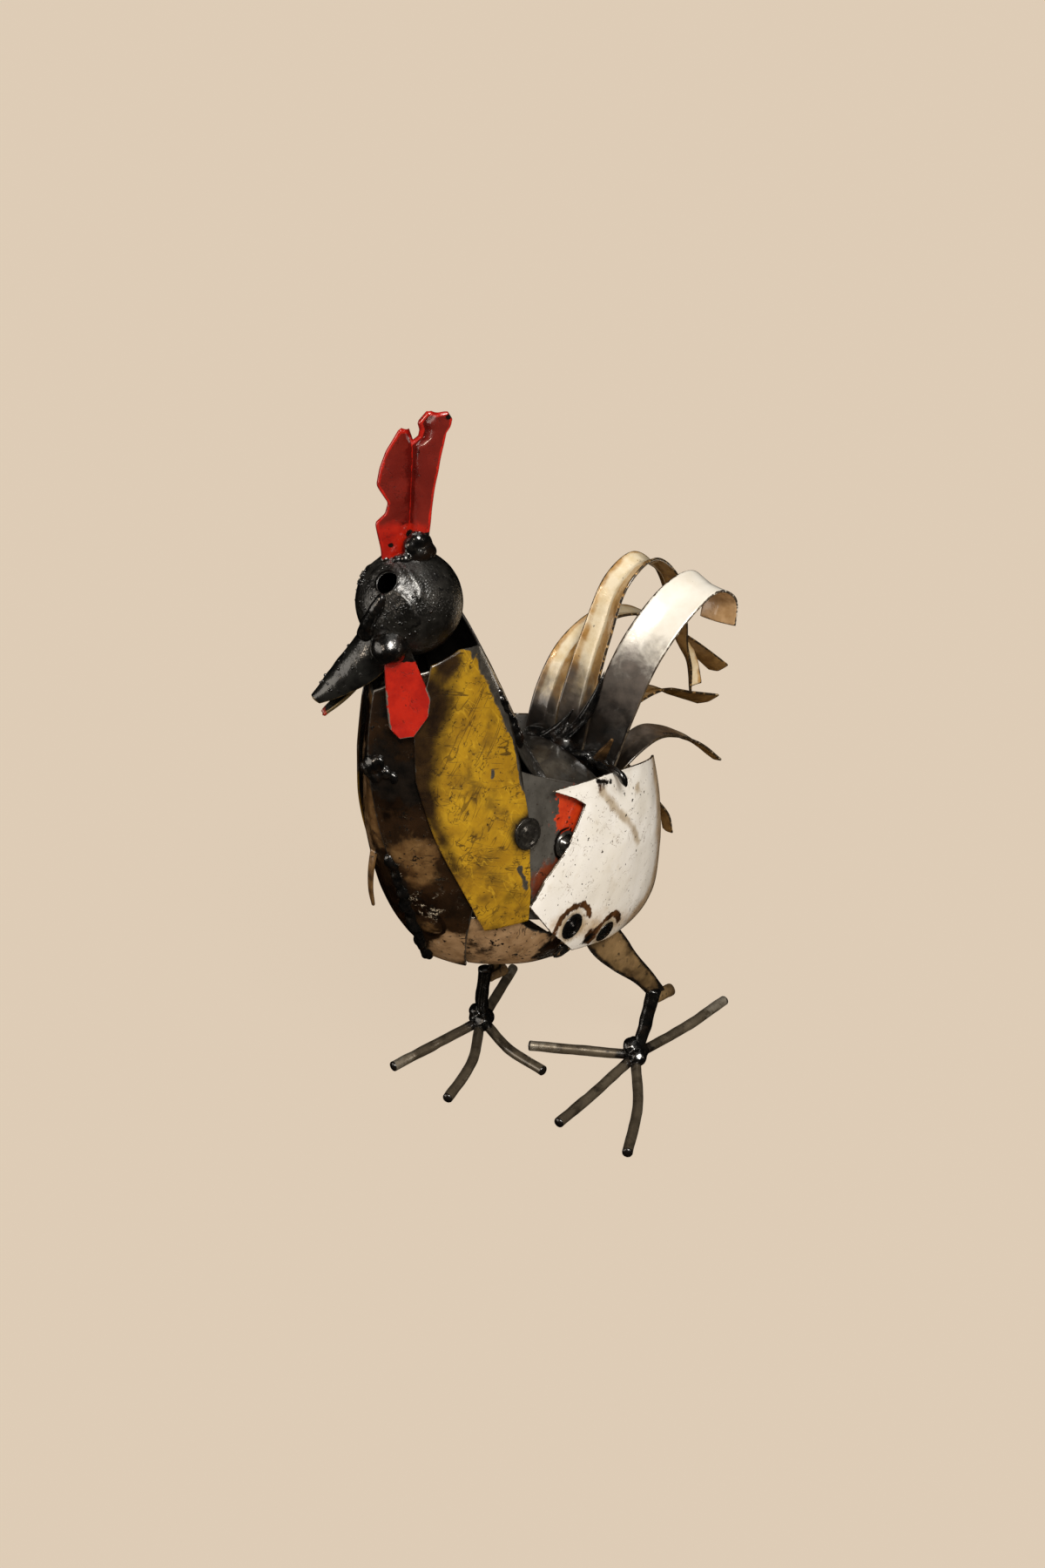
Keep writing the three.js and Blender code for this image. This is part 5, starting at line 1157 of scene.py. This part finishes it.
put_offcut(
    "breast_tongue", [[-2.0, -107.0, 163], [-1.5, -109.5, 154], [-1.0, -110.5, 145], [-1.0, -109.5, 136.5]],
    [[0, 3.4], [0.5, 2.4], [0.85, 1.6], [1, 0.8]], 40, (1, 0, 0), 0.8)

# Tail weld: the lumpy black mass that holds the feathers' roots, with folds of slag up between them, and a
# run of it along the saddle and over the rump plate's edge.
WELD_SPOTS = [
    [-15, 1, 165, 11, 5, 7], [-5, 2, 166, 12, 5, 7], [6, 3, 165, 12, 5, 7], [15, 6, 164, 9, 5, 7],
    [4, 7, 156, 12, 5, 9], [-10, 6, 156, 10, 5, 8]]
DRIP_PATH = [[6, 4, 167], [18, 2, 169], [30, 0, 172], [37, 0, 172.5], [40.5, 1, 166]]
drip_share = np.linspace(0, 1, 60)
drip = bent_path(DRIP_PATH, drip_share)
drip_ends = np.sqrt(np.clip(1 - np.abs(2 * drip_share - 1) ** 12, 0, 1))
drip_radii = drip_ends * (2.1 + 0.3 * np.sin(drip_share * 30) + 0.4 * lumps(drip, 6, 3))
TAIL_FOLDS = [
    ([[-20.4, -4, 162.5], [-10.9, 0, 164], [-1.6, 4, 173], [6.8, 8, 185], [10.1, 12, 197], [10.3, 16.5, 207.5]],
     3.0),
    ([[-17, -4, 164], [-10, -1, 171], [-4.6, 3, 177], [0.5, 8, 187]], 2.0),
    ([[-0.3, -2, 165], [9.8, 0, 170], [17, 2, 172.5]], 2.6)]
FOLD_TAPER = [[0, 0.6], [0.15, 1], [0.55, 0.95], [0.85, 0.6], [1, 0.2]]
fold_share = np.linspace(0, 1, 50)
tail_shells = [lump_shell(spot[:3], np.array(spot[3:], float), 30, 0.8, 5, 5) for spot in WELD_SPOTS]
for points, radius in TAIL_FOLDS:
    fold = bent_path(points, fold_share)
    fold_radii = radius * eased(FOLD_TAPER, fold_share) * (1 + 0.2 * lumps(fold, 5, 8))
    tail_shells.append(closed_bar(fold, fold_radii, 20, (0, 1, 0)))
tail_shells.append(closed_bar(drip, drip_radii, 20, (0, 1, 0)))
put_weld("tail_weld_dressed", tail_shells, ("tail_weld",), voxel=0.8, smooth=18)

# Tail gusset: a small pointed offcut of burnt sheet, welded to the white feather's root.
put_offcut("tail_gusset", [[13.5, 5, 159], [18, 5, 168], [25.8, 6, 182.5]], [[0, 7], [0.5, 5], [1, 0.8]],
           30, (0.68, 0.73, 0), 0.7)

# Seam welds: weld metal in a thick bead down the keel, in lumps high on the breast, and in a run beside the
# nape, each sunk into the plates that it joins.
KEEL = [[0.05, 0.46], [0.055, 0.37], [0.055, 0.27], [0.045, 0.18], [0.025, 0.1], [0.0, 0.05]]
NAPE_SEAM = [[0.655, 0.875], [0.66, 0.83], [0.668, 0.78], [0.67, 0.72]]
BREAST_LUMPS = [
    [0.02, 0.75, 4.4], [0.045, 0.76, 3.6], [0.07, 0.735, 3.2], [0.1, 0.72, 2.8], [0.03, 0.72, 3.6],
    [0.0, 0.735, 3.4]]
jitter = np.random.default_rng(5)


def bead(path, count, scatter, radii, smallest, sides, wobble):
    """Overlapping lumps along a smooth path, scattered about it and of uneven size."""
    shells = []
    for spot in bent_path(path, np.linspace(0, 1, count)):
        centre = spot + jitter.normal(0, scatter, 3)
        shells.append(lump_shell(centre, np.array(radii) * jitter.uniform(smallest, 1.3), sides, wobble, 2, 4))
    return shells


put_weld("keel_weld", bead(
    [on_form(turn, share, -0.2) for turn, share in KEEL], 26, 0.6, [2.7, 2.4, 3.7], 0.8, 18, 0.6), smooth=8)
put_weld("breast_weld", [
    lump_shell(on_form(turn, share, 0.5), np.array([size, size * 0.6, size]), 20, 0.6, 2, 4)
    for turn, share, size in BREAST_LUMPS])
put_weld("nape_weld", bead(
    [on_form(turn, share, 1.2, True) for turn, share in NAPE_SEAM], 16, 0.4, [2.4, 2.2, 2.8], 0.7, 14, 0.4))

# Spatter: small drops of weld metal thrown over the ball and the beak beside their welds, none in the eye
# holes. The real ones are fused on.
SPATTER_FIELDS = [
    ([10, 11, 14], 11, 46), ([-6, 16, 8], 9, 22), ([14, 10, 2], 8, 22), ([2, 4, 20], 8, 14),
    ([18, 0, 8], 8, 12), ([-10, 14, 12], 6, 8)]
EYES = EYE * [[1, 1, 1], [-1, 1, 1]]
EYE_REACH = math.cos(1.2 * EYE_RADIUS / HEAD_RADIUS)
throw = np.random.default_rng(29)
drops = []
for centre, reach, count in SPATTER_FIELDS:
    for spot in in_head(*centre) + throw.normal(0, reach / 2, (count, 3)):
        size = throw.uniform(0.28, 0.75)
        if np.abs(unit(spot) @ EYES.T).max() <= EYE_REACH:
            drops.append(lump_shell(from_head(unit(spot) * HEAD_RADIUS), np.full(3, size), 8))
BEAK_DROPS = 16
beak_throws = [throw.uniform(low, high, BEAK_DROPS) for low, high in ((0.1, 0.85), (0.15, 0.85), (0.3, 0.8))]
beak_skin = beak_middle + beak_out * BEAK_SHEET / 2
for share_down, share_round, size in zip(*beak_throws):
    row, column = int(share_down * (beak_skin.shape[0] - 1)), int(share_round * (beak_skin.shape[1] - 1))
    drops.append(lump_shell(from_head(beak_skin[row, column]), np.full(3, size), 8))
corners, faces = joined(drops)
put_piece("spatter", corners, faces, weld_metal, "black_lacquer")


# Ringed spots: plug welds of bright and dark weld metal that fix the lapped plates to each other.
def ringed_spot(centre, out, radius, height, seed):
    """A plug weld: a flat ring with a sunken ripple round a raised uneven button, as height over distance and
    angle from its centre, closed by a flat back just inside the sheet."""
    side = unit(np.cross(out, [0.0, 0, 1]))
    up = np.cross(out, side)
    away, round_it = np.meshgrid(np.linspace(0, 1, 22), np.linspace(0, 2 * np.pi, 41)[:-1])
    button = np.exp(-(away / 0.42) ** 4)
    profile = 0.5 * np.exp(-((away - 0.82) / 0.12) ** 2) + button - 0.25 * np.exp(-((away - 0.6) / 0.1) ** 2)
    ray = np.cos(round_it)[..., None] * side + np.sin(round_it)[..., None] * up
    ring = np.asarray(centre) + radius * away[..., None] * ray
    rise = height * np.clip(profile, -0.2, 1.2) * (1 + 0.3 * lumps(ring, radius / 3, seed))
    face = ring + out * rise[..., None]
    turns, count = away.shape
    place = np.arange(turns * (count - 1)).reshape(turns, count - 1)
    following = np.roll(place, -1, axis=0)
    corners = np.concatenate([face[:, 1:].reshape(-1, 3), face[:1, 0], [np.asarray(centre) - out * 0.8]])
    quads = np.stack([place[:, :-1], place[:, 1:], following[:, 1:], following[:, :-1]], -1).reshape(-1, 4)
    hub, heel = place.size, place.size + 1
    caps = [np.stack([np.full(turns, hub), place[:, 0], following[:, 0]], -1),
            np.stack([np.full(turns, heel), following[:, -1], place[:, -1]], -1)]
    return corners, [quads, *caps]


spot_metal = painted("spot_weld_lacquered", coat("#2b2926", "#4b4843", 0.28, 0.7, mottle=3), [
    coat("#0f0e0d", "#1c1917", 0.3, grain=2.6, level=0.56, blur=0.06),
    coat("#8b867c", "#6c675e", 0.28, 0.8, grain=1.6, level=0.63, blur=0.04, strength=0.8),
], lacquer=0.06, relief=0.5)
SPOT_LIFT = SHEET / 2 + 0.35
RINGED = [
    ("neck_spot_weld", 0.482, 0.5, OUTER, True, 7.0, 0.7, spot_metal),
    ("flank_spot_weld", 0.565, 0.43, 0.4 * INNER, False, 6.2, 2.0, spot_metal),
    ("rump_spot_weld_1", 0.545, 0.222, OUTER, False, 6.4, 1.4, weld_metal),
    ("rump_spot_weld_2", 0.634, 0.14, OUTER, False, 5.6, 1.4, weld_metal),
    ("belly_spot_weld", 0.537, 0.09, INNER, False, 5.5, 1.4, spot_metal)]
for name, turn, share, lift, is_neck, radius, height, metal in RINGED:
    centre = on_form(turn, share, lift + SPOT_LIFT, is_neck)
    corners, faces = ringed_spot(centre, form_normal(turn, share, is_neck), radius, height, 7)
    put_piece(name, corners, faces, metal, "black_lacquer")

# Legs: thighs of flat bar welded into the body, shanks and spurs of round bar, black with lacquer, on feet of
# five-millimetre bar that a knot of weld metal holds together.
FOOT_SPREAD, STRIDE, HOCK_LEFT, HOCK_HEIGHT = 70.4, 36.6, 33.4, 34
SHANK_RADIUS, SPUR_RADIUS, TOE_RADIUS, THIGH_BAR = 3.2, 3.0, 2.5, 2.4
TOE_HEIGHT = TOE_RADIUS * math.cos(math.pi / 8)
THIGH_WIDTHS = [[0, 15], [0.35, 16], [0.7, 9], [1, 6.5]]
TOES = {
    "left": [[-50.8, 52.4, 0], [9, 62.4, 0.5], [41.3, 70.1, 3], [179.5, 63.4, -1.5]],
    "right": [[-3.1, 55.4, 0], [32.2, 60.8, 4], [85.3, 49.3, -3], [-153.3, 45.3, 0]]}
leg_steel = painted("leg_steel_lacquered", coat("#6e5838", "#927650", 0.34, 0.2, mottle=12), [
    coat("#3a2c1a", "#503d26", 0.32, 0.2, grain=12, level=0.55, blur=0.14),
    coat("#0f0c08", "#1a140d", 0.3, grain=4, level=0.62, blur=0.05, strength=0.8),
    coat(*SOOT, grain=6, level=0.86, blur=0.2, soot=0.7),
], relief=0.3)
toe_steel = painted("toe_bar_lacquered", coat("#564c3e", "#6b604f", 0.36, 0.5, mottle=14), [
    coat("#332c22", "#463d30", 0.34, 0.4, grain=10, level=0.55, blur=0.1),
    coat("#a39a8a", "#857c6d", 0.36, 0.6, grain=5, level=0.82, blur=0.1, pale=0.5),
    coat("#14110d", "#231c15", 0.3, grain=2, level=0.64, blur=0.03, strength=0.7),
    coat(*SOOT, grain=4, level=0.86, blur=0.12, soot=0.7),
], relief=0.3)


def bar_radii(share, radius, length):
    """Radius along a cut bar: constant, with both ends rounded over half a radius."""
    end = np.minimum(share, 1 - share) * length / (0.45 * radius)
    return radius * np.sqrt(np.clip(1 - np.clip(1 - end, 0, 1) ** 2.6, 0, 1))


SHORT_BAR, SHANK_LENGTH, SPUR_LENGTH, TOE_SIDES = 20, 36, 12, 22


def end_close(count, length):
    """Shares of a bar's length, crowded at both ends so that its rounded ends have rings of their own. A
    short bar takes a cosine's steps alone, a long one half of them and half even ones."""
    crowded = 0.5 - 0.5 * np.cos(np.linspace(0, np.pi, count))
    return crowded if length < SHORT_BAR else 0.5 * np.linspace(0, 1, count) + 0.5 * crowded


for side_name, side in (("left", 1), ("right", -1)):
    foot = np.array([side * FOOT_SPREAD / 2, side * STRIDE / 2, 0])
    hock = np.array([side * HOCK_LEFT, side * STRIDE / 2 + (12.7 if side > 0 else 1.3), HOCK_HEIGHT])

    top, low = on_form(side * 0.69, 0.2, -THIGH_BAR), on_form(side * 0.67, 0.08, -2 * THIGH_BAR)
    heel = hock + [0, 5, -6]
    bow = np.array([0, -side * 2.0, 0])
    thigh_path = [top, low, low + 0.4 * (heel - low) + bow, low + 0.72 * (heel - low), heel]
    thigh, out, share = strip_grid(thigh_path, THIGH_WIDTHS, 18, 90, across=(0, 1, 0.4))
    thigh = thigh + out * (0.35 * lumps(thigh, 9, 3))[..., None]
    # Dark at the knee, where the bar is welded, and along both edges of the bar, where the dark is painted
    # shade on its narrow sides.
    soot = np.clip((share - 0.85) / 0.15, 0, 1)[:, None] + 0.8 * np.clip(1 - edge_gap(thigh) / 2.2, 0, 1)
    put_sheet(f"thigh_{side_name}_dressed", thigh, out, THIGH_BAR, leg_steel, "burnt_steel", {"soot": soot},
              (f"thigh_{side_name}",))

    ankle = foot + [0, 0, 2]
    share = end_close(40, SHANK_LENGTH)
    shank_path = bent_path([ankle, (ankle + hock) / 2 + [0, 0.8 * side, 0], hock + [0, 0.4, 1.4]], share)
    shank_radii = bar_radii(share, SHANK_RADIUS, SHANK_LENGTH) * (1 + 0.18 * np.clip(share * 4 - 3, 0, 1))
    corners, faces = closed_bar(shank_path, shank_radii, 26, (0, 1, 0), 0.35, 4, 5)
    shank = f"shank_{side_name}"
    put_piece(shank + "_dressed", corners, faces, weld_metal, "black_lacquer", (shank,))

    spur_start = hock + [0, SHANK_RADIUS - 2, -5]
    share = end_close(26, SPUR_LENGTH)
    spur_path = spur_start + share[:, None] * np.array([0, SPUR_LENGTH, -1])
    corners, faces = closed_bar(
        spur_path, bar_radii(share, SPUR_RADIUS, SPUR_LENGTH), 22, (0, 0, 1), 0.25, 3, 2)
    put_piece(f"spur_{side_name}_dressed", corners, faces, leg_steel, "bare_steel", (f"spur_{side_name}",))

    knot = foot + [0, 0, 4.4]
    put_weld(f"foot_knot_{side_name}_dressed", [
        lump_shell(knot + [0, 0, 0.2], [6.4, 6.4, 4.6], 26, 0.6, 3, 4),
        lump_shell(knot + [3.8, -2.6, 0.4], [4.6, 4.4, 4.6], 22, 0.5, 2, 4),
        lump_shell(knot + [-3.8, 2.6, 0.4], [4.4, 4.4, 4.6], 22, 0.5, 2, 5),
        lump_shell(knot + [-1.6, -1.0, 3.6], [4.6, 4.6, 3.6], 22, 0.4, 2, 6)],
        (f"foot_knot_{side_name}",), smooth=3)

    for number, (heading, length, toe_bow) in enumerate(TOES[side_name], 1):
        angle = math.radians(heading)
        out = np.array([math.sin(angle), -math.cos(angle), 0])
        sideways = np.array([-out[1], out[0], 0])
        start = foot + [0, 0, TOE_HEIGHT] + out * 3
        end = foot + [0, 0, TOE_HEIGHT] + out * length
        share = end_close(64, length)
        path = bent_path([start, (start + end) / 2 + sideways * (toe_bow + 0.01), end], share)
        corners, faces = closed_bar(
            path, bar_radii(share, TOE_RADIUS, length), TOE_SIDES, (0, 0, 1), 0.18, 5, number)
        share_of = np.concatenate([np.repeat(share[1:-1], TOE_SIDES), [0, 1]])
        toe = f"toe_{side_name}_{number}"
        put_piece(toe + "_dressed", corners, faces, toe_steel, "bare_steel", (toe,), {
            "soot": np.clip(1 - share_of * 4, 0, 1) + np.clip((share_of - 0.955) * 30, 0, 1) * 0.9,
            "pale": np.clip(share_of * 2 - 1, 0, 1) if number in (1, 4) else 0 * share_of})

dressed_low, dressed_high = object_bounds()
